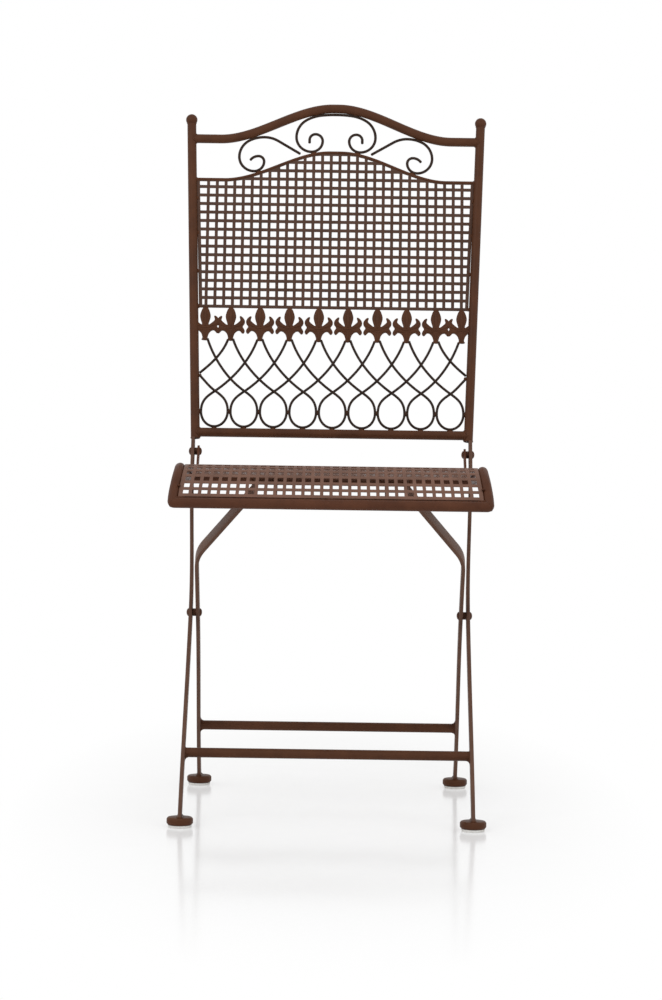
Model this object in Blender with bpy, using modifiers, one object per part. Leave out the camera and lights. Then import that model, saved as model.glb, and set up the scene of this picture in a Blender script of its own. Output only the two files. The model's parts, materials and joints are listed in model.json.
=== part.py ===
"""Folding wrought iron garden chair with a mesh seat and back, modelled in metres, +Z up.

The chair stands open with its front towards -Y. Three bodies make it: the back frame with the
front legs, the rear leg frame hinged to it at the crossing, and the seat hinged to it at the back.
"""

import math

import bmesh
import bpy
import numpy as np
from mathutils import Euler, Vector

# Clearances
TOUCH_GAP = 0.0003
RIVET_CLEARANCE = 0.0003
SEAT_BAR_CLEARANCE = 0.0015

# Stock
TUBE_DIAMETER = 0.013
TUBE_WALL = 0.0012
SEAT_TUBE_DIAMETER = 0.014
SEAT_TUBE_WALL = 0.0012
BAR_WIDTH = 0.020
BAR_THICKNESS = 0.005
CROSS_ROD_DIAMETER = 0.008
EDGE_ROD_DIAMETER = 0.004
SCROLL_ROD_DIAMETER = 0.0040
LATTICE_ROD_DIAMETER = 0.0037

# Side view of the crossed legs, measured from the point on the floor below the front feet
FOOT_SPAN = 0.417
CROSS_PIVOT_Y = 0.203
CROSS_PIVOT_Z = 0.2655
SEAT_PIVOT_Z = 0.4806
RECLINE = math.radians(12.0)
BACK_BEND_RADIUS = 0.045
CROSS_ROD_DROP = 0.0148

# Half distances between the bars, left to right
FRONT_FOOT_X = 0.1928
FRONT_BAR_CROSS_X = 0.1906
BACK_BAR_INSET = 0.0165
REAR_FOOT_X = 0.1839
REAR_BAR_GAP = 0.0048
REAR_BAR_TOP_X = 0.100
REAR_BAR_BEND = math.radians(33.0)
REAR_BAR_BEND_RADIUS = 0.060
REAR_BAR_TOP_BEND_RADIUS = 0.012
REAR_BAR_END_RADIUS = 0.008
REAR_BAR_FLANGE = 0.007

# Feet
FOOT_DIAMETER = 0.035
FOOT_CAP_HEIGHT = 0.010
FOOT_FLANGE_HEIGHT = 0.0035
FOOT_FLANGE_LIP = 0.0008
FOOT_PAD_DIAMETER = 0.031
FOOT_PAD_HEIGHT = 0.003

# Stretchers between the legs
FRONT_STRETCHER_Z = 0.0904
REAR_STRETCHER_Z = 0.0935

# Rivets
RIVET_SHANK_DIAMETER = 0.006
RIVET_HEAD_DIAMETER = 0.011
RIVET_HEAD_HEIGHT = 0.0032
RIVET_COLLAR_DIAMETER = 0.0105

# Seat
SEAT_WIDTH = 0.429
SEAT_FRONT_Y = -0.012
SEAT_FRONT_Z = 0.4269
SEAT_FRONT_SLOPE = math.radians(44.0)
SEAT_REAR_SLOPE = math.radians(5.3)
SEAT_FRONT_RUN = 0.036
SEAT_ARC_RADIUS = 0.063
SEAT_NET_RISE = 0.003
SEAT_NET_THICKNESS = 0.0015
SEAT_NET_GROOVE = 0.0015
SEAT_NET_BORDER = 0.006
SEAT_NET_STRIP = 0.0041
SEAT_NET_COLUMNS = 16
SEAT_NET_ROWS = 14
SEAT_NET_SECTIONS = {"front": 3, "middle": 3, "rear": 8}
EAR_THICKNESS = 0.003
EAR_GAP = 0.0042
EAR_RADIUS = 0.0085
EAR_FOOT_HALF_WIDTH = 0.0060
HOOK_X = 0.073
HOOK_THICKNESS = 0.004
HOOK_DEPTH = 0.007
HOOK_WALL = 0.012
HOOK_CHIN = 0.0035
HOOK_CHIN_ANGLE = math.radians(-25.0)
HOOK_TAIL = 0.005

# Backrest heights, measured up the back from the lower end of the posts
POST_INSET = 0.0029
POST_SPLAY = math.radians(1.9)
FINIAL_RISE = 0.0282
FINIAL_DIAMETER = 0.0167
CREST_END_HEIGHT = 0.4425
CREST_RISE = 0.0477
CREST_FLAT_FROM = 0.80
CREST_FLAT_TOP = 0.02
LOWER_RAIL_HEIGHT = 0.0083
NET_FOOT_HEIGHT = 0.1929
NET_EDGE_DROP = 0.0607
NET_EDGE_RISE = 0.0423
NET_EDGE_FLAT_FROM = 0.80
NET_EDGE_FLAT_TOP = 0.04
NET_THICKNESS = 0.0014
NET_STRIP = 0.0042
NET_FOOT_STRIP = 0.0043
NET_SIDE_STRIP = 0.0050
NET_SIDE_GAP_FOOT = 0.0009
NET_COLUMNS = 16
NET_ROWS = 9
NET_LEAST_HOLE = 0.003

# Leaf ornaments, each a fleur-de-lis cut from plate
FLEUR_BASE_HEIGHT = 0.1443
FLEUR_THICKNESS = 0.004
FLEUR_BASE_HALF_WIDTH = 0.0035
FLEUR_WIDTH = 0.0404
FLEUR_ARM_HEIGHT = 0.0342
FLEUR_LEAF_WIDTH = 0.0152
END_FLEUR_INSET = 0.0090
FLEUR_COUNT = 10

# Looped wires below the ornaments
LOOP_COUNT = 9
LOOP_WIDEST_RISE = 0.0218
LOOP_CROSS_RISE = 0.0518
LOOP_CROSS_SLOPE = math.radians(35.0)
LOOP_TOP_SLOPE = math.radians(71.0)
END_WIRE_SLOPE = math.radians(45.0)
SIDE_WIRE_SLOPE = math.radians(39.0)
WIRE_FOOT_X = 0.0040

# Scrolls between the crest rail and the net, before they are fitted. Each turn is a radius with an
# angle in degrees.
CENTRE_SCROLL_TURNS = ((0.1500, 7.5), (0.0540, 22.0), (0.0290, 60.5), (0.0214, 90.0), (0.0157, 90.0),
                       (0.0101, 90.0), (0.0084, 90.0))
CENTRE_SCROLL_TIP = 0.0040
SIDE_SCROLL_X = 0.1040
SIDE_SCROLL_TAIL = 0.0380
SIDE_SCROLL_TAIL_TURN = math.radians(30.5)
SIDE_SCROLL_TAIL_RADIUS = 0.0420
SIDE_SCROLL_TURNS = ((0.0503, 25.0), (0.0290, 65.0), (0.0227, 90.0), (0.0152, 90.0), (0.0086, 90.0),
                     (0.0150, 53.0))

# Facets
TUBE_SIDES = 12
POST_SIDES = 16
WIRE_SIDES = 6
TURNED_STEPS = 8
FOOT_STEPS = 16
CREST_SEGMENTS = 22
SEAT_ARC_SEGMENTS = 7
LOOP_UPPER_POINTS = 6
LOOP_LOWER_POINTS = 5
LOOP_ARM_POINTS = 6
TURN_POINTS = 4

# Colours in linear light
PAINT_COLOUR = (0.098, 0.040, 0.026, 1.0)
SEAT_PAINT_COLOUR = (0.165, 0.082, 0.062, 1.0)
WIRE_PAINT_COLOUR = (0.045, 0.022, 0.016, 1.0)
PAD_COLOUR = (0.80, 0.80, 0.78, 1.0)

# Sizes that follow from the ones above
TUBE_RADIUS = TUBE_DIAMETER / 2
SEAT_TUBE_RADIUS = SEAT_TUBE_DIAMETER / 2
LATTICE_RADIUS = LATTICE_ROD_DIAMETER / 2
SCROLL_RADIUS = SCROLL_ROD_DIAMETER / 2
EDGE_RADIUS = EDGE_ROD_DIAMETER / 2
CROSS_ROD_RADIUS = CROSS_ROD_DIAMETER / 2
FOOT_TOP_Z = FOOT_PAD_HEIGHT + TOUCH_GAP + FOOT_CAP_HEIGHT
LEG_RISE = CROSS_PIVOT_Z - FOOT_TOP_Z
FRONT_LEAN = math.atan2(CROSS_PIVOT_Y, LEG_RISE)
REAR_LEAN = math.atan2(FOOT_SPAN - CROSS_PIVOT_Y, LEG_RISE)
SEAT_PIVOT_Y = CROSS_PIVOT_Y + math.tan(FRONT_LEAN) * (SEAT_PIVOT_Z - CROSS_PIVOT_Z)
BACK_Y = SEAT_PIVOT_Y + BACK_BEND_RADIUS * (math.cos(RECLINE) - math.cos(FRONT_LEAN))
BACK_Z = SEAT_PIVOT_Z + BACK_BEND_RADIUS * (math.sin(FRONT_LEAN) - math.sin(RECLINE))
REAR_BAR_CROSS_X = FRONT_BAR_CROSS_X - BAR_THICKNESS - REAR_BAR_GAP
BACK_BAR_SEAT_X = SEAT_WIDTH / 2 - BACK_BAR_INSET
POST_FOOT_X = BACK_BAR_SEAT_X - POST_INSET
EAR_X = BACK_BAR_SEAT_X - BAR_THICKNESS / 2 - EAR_GAP - EAR_THICKNESS / 2
SEAT_RAIL_X = SEAT_WIDTH / 2 - SEAT_TUBE_RADIUS
SEAT_ARC_START_Y = SEAT_FRONT_Y + SEAT_FRONT_RUN * math.cos(SEAT_FRONT_SLOPE)
SEAT_ARC_START_Z = SEAT_FRONT_Z + SEAT_FRONT_RUN * math.sin(SEAT_FRONT_SLOPE)
SEAT_ARC_DEPTH = SEAT_ARC_RADIUS * (math.sin(SEAT_FRONT_SLOPE) + math.sin(SEAT_REAR_SLOPE))
SEAT_ARC_RISE = SEAT_ARC_RADIUS * (math.cos(SEAT_REAR_SLOPE) - math.cos(SEAT_FRONT_SLOPE))
SEAT_ARC_END_Y = SEAT_ARC_START_Y + SEAT_ARC_DEPTH
SEAT_ARC_END_Z = SEAT_ARC_START_Z + SEAT_ARC_RISE
SEAT_ARC_LENGTH = SEAT_ARC_RADIUS * (SEAT_FRONT_SLOPE + SEAT_REAR_SLOPE)
SEAT_ARC_END_RUN = SEAT_FRONT_RUN + SEAT_ARC_LENGTH
CREST_TOP_HEIGHT = CREST_END_HEIGHT + CREST_RISE
FINIAL_HEIGHT = CREST_END_HEIGHT + FINIAL_RISE
NET_EDGE_END_HEIGHT = CREST_END_HEIGHT - NET_EDGE_DROP
REARMOST_Y = BACK_Y + CREST_TOP_HEIGHT * math.sin(RECLINE) + TUBE_RADIUS
FRONTMOST_Y = min(SEAT_FRONT_Y - SEAT_TUBE_RADIUS, -FOOT_DIAMETER / 2)
CENTRE_Y = (REARMOST_Y + FRONTMOST_Y) / 2
FRONT_BAR_AXIS = Vector((0.0, math.sin(FRONT_LEAN), math.cos(FRONT_LEAN)))
FRONT_BAR_ACROSS = Vector((0.0, math.cos(FRONT_LEAN), -math.sin(FRONT_LEAN)))
REAR_BAR_AXIS = Vector((0.0, -math.sin(REAR_LEAN), math.cos(REAR_LEAN)))
REAR_BAR_ACROSS = Vector((0.0, math.cos(REAR_LEAN), math.sin(REAR_LEAN)))
SIDE_VIEW = Euler((math.pi / 2, 0.0, math.pi / 2))
SIDES = ("left", "right")


def both_sides():
    """Names of the two sides with the sign of their X."""
    return [(side, 1 if side == "right" else -1) for side in SIDES]


def smoothstep(value):
    """Ease from 0 to 1 with level ends."""
    share = np.clip(value, 0.0, 1.0)
    return share * share * (3.0 - 2.0 * share)


def solve(too_low, low, high):
    """Highest value for which a test that turns false once still holds, by halving."""
    for _ in range(24):
        middle = (low + high) / 2
        if too_low(middle):
            low = middle
        else:
            high = middle
    return low


def post_x(height):
    """Half distance between the axes of the posts at a height up the back."""
    return POST_FOOT_X + math.tan(POST_SPLAY) * height


def post_face_x(height):
    """Half distance between the inner faces of the posts at a height up the back."""
    return post_x(height) - TUBE_RADIUS / math.cos(POST_SPLAY)


def crest_height(x):
    """Height of the crest rail's axis: level ends that sweep up to the middle."""
    share = (np.abs(x) / post_x(CREST_END_HEIGHT) - CREST_FLAT_TOP) / (CREST_FLAT_FROM - CREST_FLAT_TOP)
    return CREST_TOP_HEIGHT - CREST_RISE * smoothstep(share)


def net_edge_height(x):
    """Height of the rod along the top of the back net, a lower echo of the crest rail."""
    share = np.abs(x) / post_face_x(NET_EDGE_END_HEIGHT)
    eased = smoothstep((share - NET_EDGE_FLAT_TOP) / (NET_EDGE_FLAT_FROM - NET_EDGE_FLAT_TOP))
    return NET_EDGE_END_HEIGHT + NET_EDGE_RISE * (1.0 - eased)


def front_bar_x(z):
    """Half distance between the front leg bars, which are drawn in at the crossing."""
    if z < CROSS_PIVOT_Z:
        share = smoothstep((z - FOOT_TOP_Z) / LEG_RISE)
        return FRONT_FOOT_X + (FRONT_BAR_CROSS_X - FRONT_FOOT_X) * share
    share = smoothstep((z - CROSS_PIVOT_Z) / (SEAT_PIVOT_Z - CROSS_PIVOT_Z))
    return FRONT_BAR_CROSS_X + (BACK_BAR_SEAT_X - FRONT_BAR_CROSS_X) * share


def rear_bar_x(z):
    """Half distance between the rear leg bars below the crossing."""
    share = smoothstep((z - FOOT_TOP_Z) / LEG_RISE)
    return REAR_FOOT_X + (REAR_BAR_CROSS_X - REAR_FOOT_X) * share


def seat_rail_point(distance):
    """Point and slope of the seat's side rails at a distance along them from the front corner."""
    if distance < SEAT_ARC_END_RUN:
        turned_run = max(distance - SEAT_FRONT_RUN, 0.0)
        early = min(distance - SEAT_FRONT_RUN, 0.0)
        slope = SEAT_FRONT_SLOPE - turned_run / SEAT_ARC_RADIUS
        y = SEAT_ARC_START_Y + SEAT_ARC_RADIUS * (math.sin(SEAT_FRONT_SLOPE) - math.sin(slope))
        z = SEAT_ARC_START_Z + SEAT_ARC_RADIUS * (math.cos(slope) - math.cos(SEAT_FRONT_SLOPE))
        return Vector((0.0, y + early * math.cos(slope), z + early * math.sin(slope))), slope
    run = distance - SEAT_ARC_END_RUN
    y = SEAT_ARC_END_Y + run * math.cos(SEAT_REAR_SLOPE)
    z = SEAT_ARC_END_Z - run * math.sin(SEAT_REAR_SLOPE)
    return Vector((0.0, y, z)), -SEAT_REAR_SLOPE


def seat_rail_height(y):
    """Height of the side rails' axis at a distance behind the point below the front feet."""
    if y > SEAT_ARC_END_Y:
        return SEAT_ARC_END_Z - (y - SEAT_ARC_END_Y) * math.tan(SEAT_REAR_SLOPE)
    if y < SEAT_ARC_START_Y:
        return SEAT_FRONT_Z + (y - SEAT_FRONT_Y) * math.tan(SEAT_FRONT_SLOPE)
    slope = math.asin(math.sin(SEAT_FRONT_SLOPE) - (y - SEAT_ARC_START_Y) / SEAT_ARC_RADIUS)
    return SEAT_ARC_START_Z + SEAT_ARC_RADIUS * (math.cos(slope) - math.cos(SEAT_FRONT_SLOPE))


def cross_rod_place():
    """Distance and height of the rod, where the rear legs' line comes up to its drop below the rails."""
    def leg_y(z):
        return CROSS_PIVOT_Y - math.tan(REAR_LEAN) * (z - CROSS_PIVOT_Z)

    z = solve(lambda z: z + CROSS_ROD_DROP < seat_rail_height(leg_y(z)), CROSS_PIVOT_Z, SEAT_ARC_END_Z)
    return leg_y(z), z


def seat_length():
    """Length of the side rails, from the front corner to the rear rail that just clears the bars."""
    reach = BAR_WIDTH / 2 + SEAT_TUBE_RADIUS + SEAT_BAR_CLEARANCE
    origin, _ = seat_rail_point(SEAT_ARC_END_RUN)
    along = Vector((0.0, math.cos(SEAT_REAR_SLOPE), -math.sin(SEAT_REAR_SLOPE)))
    to_bar = Vector((0.0, CROSS_PIVOT_Y, CROSS_PIVOT_Z)) - origin
    run = (to_bar.dot(FRONT_BAR_ACROSS) - reach) / along.dot(FRONT_BAR_ACROSS)
    return SEAT_ARC_END_RUN + run


def seat_surface_point(x, distance):
    """Point of the seat net's middle surface, set above the rails' axes."""
    point, slope = seat_rail_point(distance)
    return point + Vector((x, -SEAT_NET_RISE * math.sin(slope), SEAT_NET_RISE * math.cos(slope)))


def clear_scene():
    """Remove every object of the scene."""
    for item in list(bpy.data.objects):
        bpy.data.objects.remove(item, do_unlink=True)


def make_material(name, colour, roughness, metallic):
    """Make a Principled material."""
    material = bpy.data.materials.new(name)
    material.use_nodes = True
    shader = material.node_tree.nodes["Principled BSDF"]
    shader.inputs["Base Color"].default_value = colour
    shader.inputs["Roughness"].default_value = roughness
    shader.inputs["Metallic"].default_value = metallic
    return material


class Workshop:
    """Collections, materials and the empties that carry the bodies."""

    def __init__(self):
        self.parts = self.new_collection("garden_chair")
        self.cutters = self.new_collection("cutters")
        self.chair = self.new_empty("chair", None, (0.0, -CENTRE_Y, 0.0))
        self.backrest = self.new_empty("backrest", self.chair, (0.0, BACK_Y, BACK_Z))
        self.backrest.rotation_euler = (math.pi / 2 - RECLINE, 0.0, 0.0)
        self.rear_hinge = self.new_empty("rear_leg_hinge", self.chair, (0.0, CROSS_PIVOT_Y, CROSS_PIVOT_Z))
        self.seat_hinge = self.new_empty("seat_hinge", self.chair, (0.0, SEAT_PIVOT_Y, SEAT_PIVOT_Z))
        self.finishes = {
            "paint": ("brown_paint", PAINT_COLOUR, 0.45, 0.0),
            "seat": ("seat_paint", SEAT_PAINT_COLOUR, 0.40, 0.0),
            "wire": ("wire_paint", WIRE_PAINT_COLOUR, 0.45, 0.0),
            "pad": ("white_plastic", PAD_COLOUR, 0.50, 0.0),
        }

    def new_collection(self, name):
        """Add a collection to the scene."""
        collection = bpy.data.collections.new(name)
        bpy.context.scene.collection.children.link(collection)
        return collection

    def new_empty(self, name, parent, place):
        """Add an empty that carries pieces."""
        empty = bpy.data.objects.new(name, None)
        empty.parent = parent
        empty.location = place
        self.parts.objects.link(empty)
        return empty

    def add(self, item, parent, finish, place=(0.0, 0.0, 0.0), turn=(0.0, 0.0, 0.0)):
        """Place a piece under its parent with its own material."""
        if item.name not in self.parts.objects:
            self.parts.objects.link(item)
        item.parent = parent
        item.location = place
        item.rotation_euler = turn
        name, colour, roughness, metallic = self.finishes[finish]
        item.data.materials.append(make_material(f"{item.name}_{name}", colour, roughness, metallic))
        return item

    def add_cutter(self, item, like):
        """Hide a cutter and give it the place of the piece that it cuts."""
        self.cutters.objects.link(item)
        item.parent = like.parent
        item.location = like.location
        item.rotation_euler = like.rotation_euler
        item.hide_render = True
        item.display_type = "WIRE"
        return item

    def cut(self, item, cutter):
        """Subtract a cutter from a piece."""
        modifier = item.modifiers.new(cutter.name, "BOOLEAN")
        modifier.operation = "DIFFERENCE"
        modifier.solver = "EXACT"
        modifier.object = cutter


def wire_curve(name, points, radius, sides):
    """Make a tube along points, as a curve with closed ends."""
    curve = bpy.data.curves.new(name, "CURVE")
    curve.dimensions = "3D"
    curve.bevel_depth = radius
    curve.bevel_resolution = (sides - 4) // 2
    curve.use_fill_caps = True
    spline = curve.splines.new("POLY")
    spline.points.add(len(points) - 1)
    for target, point in zip(spline.points, points):
        target.co = (*point, 1.0)
    return bpy.data.objects.new(name, curve)


def wire_mesh(name, points, radius, sides):
    """Make a closed mesh tube along points, for cutting and joining."""
    source = wire_curve(f"{name}_curve", points, radius, sides)
    bpy.context.scene.collection.objects.link(source)
    bpy.context.view_layer.update()
    evaluated = source.evaluated_get(bpy.context.evaluated_depsgraph_get())
    mesh = bpy.data.meshes.new_from_object(evaluated)
    mesh.name = name
    bpy.data.objects.remove(source, do_unlink=True)
    form = bmesh.new()
    form.from_mesh(mesh)
    bmesh.ops.remove_doubles(form, verts=form.verts, dist=TOUCH_GAP / 10)
    bmesh.ops.recalc_face_normals(form, faces=form.faces)
    form.to_mesh(mesh)
    form.free()
    mesh.shade_smooth()
    mesh.set_sharp_from_angle(angle=math.radians(40.0))
    return bpy.data.objects.new(name, mesh)


def lengthened(points, extra):
    """Extend a path at both ends."""
    first = Vector(points[0])
    last = Vector(points[-1])
    before = (first - Vector(points[1])).normalized() * extra
    after = (last - Vector(points[-2])).normalized() * extra
    return [first + before, *[Vector(point) for point in points], last + after]


def slice_mesh(item, point, normal):
    """Cut a closed mesh by a plane, keep the side that the normal points to and close the cut."""
    form = bmesh.new()
    form.from_mesh(item.data)
    everything = [*form.verts, *form.edges, *form.faces]
    result = bmesh.ops.bisect_plane(form, geom=everything, plane_co=point, plane_no=normal, clear_inner=True)
    rim = [piece for piece in result["geom_cut"] if isinstance(piece, bmesh.types.BMEdge)]
    bmesh.ops.holes_fill(form, edges=rim)
    bmesh.ops.recalc_face_normals(form, faces=form.faces)
    form.to_mesh(item.data)
    form.free()


def hollow_tube(shop, name, points, radius, wall, sides, parent, finish, mitres=(), place=(0.0, 0.0, 0.0)):
    """Make a tube that is open at both ends, with its ends cut by mitre planes where given."""
    overrun = 2 * radius
    path = lengthened(points, overrun) if mitres else points
    body = wire_mesh(name, path, radius, sides)
    for point, normal in mitres:
        slice_mesh(body, point, normal)
    shop.add(body, parent, finish, place)
    bore = wire_mesh(f"{name}_bore", lengthened(points, 3 * radius), radius - wall, sides)
    shop.add_cutter(bore, body)
    shop.cut(body, bore)
    return body


def flat_plate(name, outlines, thickness):
    """Make a plate from an outline and its holes, as a filled flat curve with a thickness."""
    curve = bpy.data.curves.new(name, "CURVE")
    curve.dimensions = "2D"
    curve.fill_mode = "BOTH"
    curve.extrude = thickness / 2
    for outline in outlines:
        spline = curve.splines.new("POLY")
        spline.points.add(len(outline) - 1)
        for target, (x, y) in zip(spline.points, outline):
            target.co = (x, y, 0.0, 1.0)
        spline.use_cyclic_u = True
    return bpy.data.objects.new(name, curve)


def mapped_grid(name, columns, rows, place, keep=None):
    """Make a grid whose corner at each column and row is put where place says."""
    form = bmesh.new()
    bmesh.ops.create_grid(form, x_segments=columns, y_segments=rows, size=0.5)
    index = {corner: (round((corner.co.x + 0.5) * columns), round((corner.co.y + 0.5) * rows))
             for corner in form.verts}
    if keep is not None:
        spare = [face for face in form.faces if not keep(*np.min([index[v] for v in face.verts], axis=0))]
        bmesh.ops.delete(form, geom=spare, context="FACES")
    for corner in form.verts:
        corner.co = place(*index[corner])
    mesh = bpy.data.meshes.new(name)
    form.to_mesh(mesh)
    form.free()
    return bpy.data.objects.new(name, mesh)


def thicken(item, thickness):
    """Give an open surface its thickness, half to each side."""
    modifier = item.modifiers.new("thickness", "SOLIDIFY")
    modifier.thickness = thickness
    modifier.offset = 0.0
    modifier.use_even_offset = True
    return item


def flat_bar(name, stations, thickness):
    """Make a flat bar from stations of centre, width direction and half width."""
    def place(column, row):
        centre, across, half_width = stations[row]
        return centre + across * half_width * (2 * column - 1)
    return thicken(mapped_grid(name, 1, len(stations) - 1, place), thickness)


def turned(name, profile, steps):
    """Turn a profile about the Z axis; it runs down the outer side from top to bottom."""
    mesh = bpy.data.meshes.new(name)
    mesh.from_pydata([(radius, 0.0, z) for radius, z in profile],
                     [(i, i + 1) for i in range(len(profile) - 1)], [])
    item = bpy.data.objects.new(name, mesh)
    modifier = item.modifiers.new("turn", "SCREW")
    modifier.axis = "Z"
    modifier.steps = steps
    modifier.render_steps = steps
    modifier.use_merge_vertices = True
    modifier.merge_threshold = TOUCH_GAP / 10
    modifier.use_smooth_shade = True
    return item


def cylinder(name, radius, length, sides):
    """Make a closed cylinder about the X axis."""
    half = Vector((length / 2, 0.0, 0.0))
    return wire_mesh(name, [-half, half], radius, sides)


def drill(shop, item, centre, radius, length):
    """Drill a hole along X through a piece that stands in chair coordinates."""
    hole = cylinder(f"{item.name}_hole_{len(item.modifiers)}", radius, length, TUBE_SIDES)
    shop.cutters.objects.link(hole)
    hole.parent = shop.chair
    hole.location = centre
    hole.hide_render = True
    hole.display_type = "WIRE"
    shop.cut(item, hole)


def from_hinge(hinge):
    """Offset that keeps a piece drawn in chair coordinates in place under a hinge."""
    return -Vector(hinge.location)


def level_end(direction, across):
    """Half width vector of a bar's end that is cut level, sheared along the bar."""
    half_width = BAR_WIDTH / 2
    return across * half_width - direction * (across.z * half_width / direction.z)


def front_bar_stations():
    """Stations of a front leg bar: straight from the foot, then bent up into the back."""
    end_z = FOOT_TOP_Z + TOUCH_GAP
    foot = Vector((front_bar_x(end_z), CROSS_PIVOT_Y - math.tan(FRONT_LEAN) * (CROSS_PIVOT_Z - end_z), end_z))
    level = level_end(FRONT_BAR_AXIS, FRONT_BAR_ACROSS)
    stations = [(foot, level.normalized(), level.length)]
    for z in np.linspace(end_z, SEAT_PIVOT_Z, 15)[1:]:
        y = CROSS_PIVOT_Y + math.tan(FRONT_LEAN) * (z - CROSS_PIVOT_Z)
        stations.append((Vector((front_bar_x(z), y, z)), FRONT_BAR_ACROSS, BAR_WIDTH / 2))
    for lean in np.linspace(FRONT_LEAN, RECLINE, 6)[1:]:
        y = SEAT_PIVOT_Y + BACK_BEND_RADIUS * (math.cos(lean) - math.cos(FRONT_LEAN))
        z = SEAT_PIVOT_Z + BACK_BEND_RADIUS * (math.sin(FRONT_LEAN) - math.sin(lean))
        across = Vector((0.0, math.cos(lean), -math.sin(lean)))
        stations.append((Vector((BACK_BAR_SEAT_X, y, z)), across, BAR_WIDTH / 2))
    end, across, half_width = stations[-1]
    up = Vector((0.0, math.sin(RECLINE), math.cos(RECLINE)))
    stations[-1] = (end - up * TOUCH_GAP, across, half_width)
    return stations


def rear_bar_path():
    """Path of a rear leg bar above the crossing, as half distance and height along the leg."""
    _, rod_z = cross_rod_place()
    top = (rod_z - CROSS_PIVOT_Z) / math.cos(REAR_LEAN)
    lower_tangent = REAR_BAR_BEND_RADIUS * math.tan(REAR_BAR_BEND / 2)
    upper_tangent = REAR_BAR_TOP_BEND_RADIUS * math.tan(REAR_BAR_BEND / 2)
    shift = REAR_BAR_CROSS_X - REAR_BAR_TOP_X
    upper_corner = top - REAR_BAR_FLANGE - upper_tangent
    lower_corner = upper_corner - shift / math.tan(REAR_BAR_BEND)
    path = []
    for turn in np.linspace(0.0, REAR_BAR_BEND, 6):
        x = REAR_BAR_CROSS_X - REAR_BAR_BEND_RADIUS * (1.0 - math.cos(turn))
        path.append((x, lower_corner - lower_tangent + REAR_BAR_BEND_RADIUS * math.sin(turn)))
    for turn in np.linspace(REAR_BAR_BEND, 0.0, 4):
        x = REAR_BAR_TOP_X + REAR_BAR_TOP_BEND_RADIUS * (1.0 - math.cos(turn))
        path.append((x, upper_corner + upper_tangent - REAR_BAR_TOP_BEND_RADIUS * math.sin(turn)))
    return path, top


def rear_bar_stations():
    """Stations of a rear leg bar: straight to the crossing, then bent in towards the cross rod."""
    end_z = FOOT_TOP_Z + TOUCH_GAP
    pivot = Vector((0.0, CROSS_PIVOT_Y, CROSS_PIVOT_Z))
    foot = pivot + REAR_BAR_AXIS * ((end_z - CROSS_PIVOT_Z) / REAR_BAR_AXIS.z)
    foot.x = rear_bar_x(end_z)
    level = level_end(REAR_BAR_AXIS, REAR_BAR_ACROSS)
    stations = [(foot, level.normalized(), level.length)]
    for z in np.linspace(end_z, CROSS_PIVOT_Z, 7)[1:]:
        centre = pivot + REAR_BAR_AXIS * ((z - CROSS_PIVOT_Z) / REAR_BAR_AXIS.z)
        centre.x = rear_bar_x(z)
        stations.append((centre, REAR_BAR_ACROSS, BAR_WIDTH / 2))
    path, top = rear_bar_path()
    for x, height in path:
        centre = pivot + REAR_BAR_AXIS * height
        centre.x = x
        stations.append((centre, REAR_BAR_ACROSS, BAR_WIDTH / 2))
    for turn in np.linspace(0.0, math.radians(75.0), 5):
        centre = pivot + REAR_BAR_AXIS * (top + REAR_BAR_END_RADIUS * math.sin(turn))
        centre.x = REAR_BAR_TOP_X
        stations.append((centre, REAR_BAR_ACROSS, REAR_BAR_END_RADIUS * math.cos(turn)))
    return stations


def mirrored(stations, side):
    """Stations on the left or right side of the chair."""
    return [(Vector((side * centre.x, centre.y, centre.z)), across, half) for centre, across, half in stations]


def build_leg_bars(shop):
    """Front leg bars that run up into the back, drilled for both pairs of rivets."""
    hole = RIVET_SHANK_DIAMETER / 2 + RIVET_CLEARANCE
    for side, sign in both_sides():
        bar = flat_bar(f"front_leg_bar_{side}", mirrored(front_bar_stations(), sign), BAR_THICKNESS)
        shop.add(bar, shop.chair, "paint")
        cross = (sign * FRONT_BAR_CROSS_X, CROSS_PIVOT_Y, CROSS_PIVOT_Z)
        seat = (sign * BACK_BAR_SEAT_X, SEAT_PIVOT_Y, SEAT_PIVOT_Z)
        drill(shop, bar, cross, hole, 3 * BAR_THICKNESS)
        drill(shop, bar, seat, hole, 3 * BAR_THICKNESS)


def build_rear_legs(shop):
    """Rear leg bars, the rod across their tops and their stretcher."""
    hinge = shop.rear_hinge
    home = from_hinge(hinge)
    hole = RIVET_SHANK_DIAMETER / 2 + RIVET_CLEARANCE
    rod_y, rod_z = cross_rod_place()
    for side, sign in both_sides():
        bar = flat_bar(f"rear_leg_bar_{side}", mirrored(rear_bar_stations(), sign), BAR_THICKNESS)
        shop.add(bar, hinge, "paint", home)
        cross = (sign * REAR_BAR_CROSS_X, CROSS_PIVOT_Y, CROSS_PIVOT_Z)
        drill(shop, bar, cross, hole, 3 * BAR_THICKNESS)
        rod_end = (sign * REAR_BAR_TOP_X, rod_y, rod_z)
        drill(shop, bar, rod_end, CROSS_ROD_RADIUS + TOUCH_GAP, 3 * BAR_THICKNESS)
    reach = REAR_BAR_TOP_X + BAR_THICKNESS
    ends = [(-reach, 0.0, 0.0), (reach, 0.0, 0.0)]
    rod = wire_curve("seat_support_rod", ends, CROSS_ROD_RADIUS, TUBE_SIDES)
    shop.add(rod, hinge, "paint", Vector((0.0, rod_y, rod_z)) + home)
    reach = rear_bar_x(REAR_STRETCHER_Z) - BAR_THICKNESS / 2 - TOUCH_GAP
    y = CROSS_PIVOT_Y + math.tan(REAR_LEAN) * (CROSS_PIVOT_Z - REAR_STRETCHER_Z)
    ends = [(-reach, 0.0, 0.0), (reach, 0.0, 0.0)]
    hollow_tube(shop, "rear_stretcher", ends, TUBE_RADIUS, TUBE_WALL, TUBE_SIDES, hinge, "paint",
                place=Vector((0.0, y, REAR_STRETCHER_Z)) + home)


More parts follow.
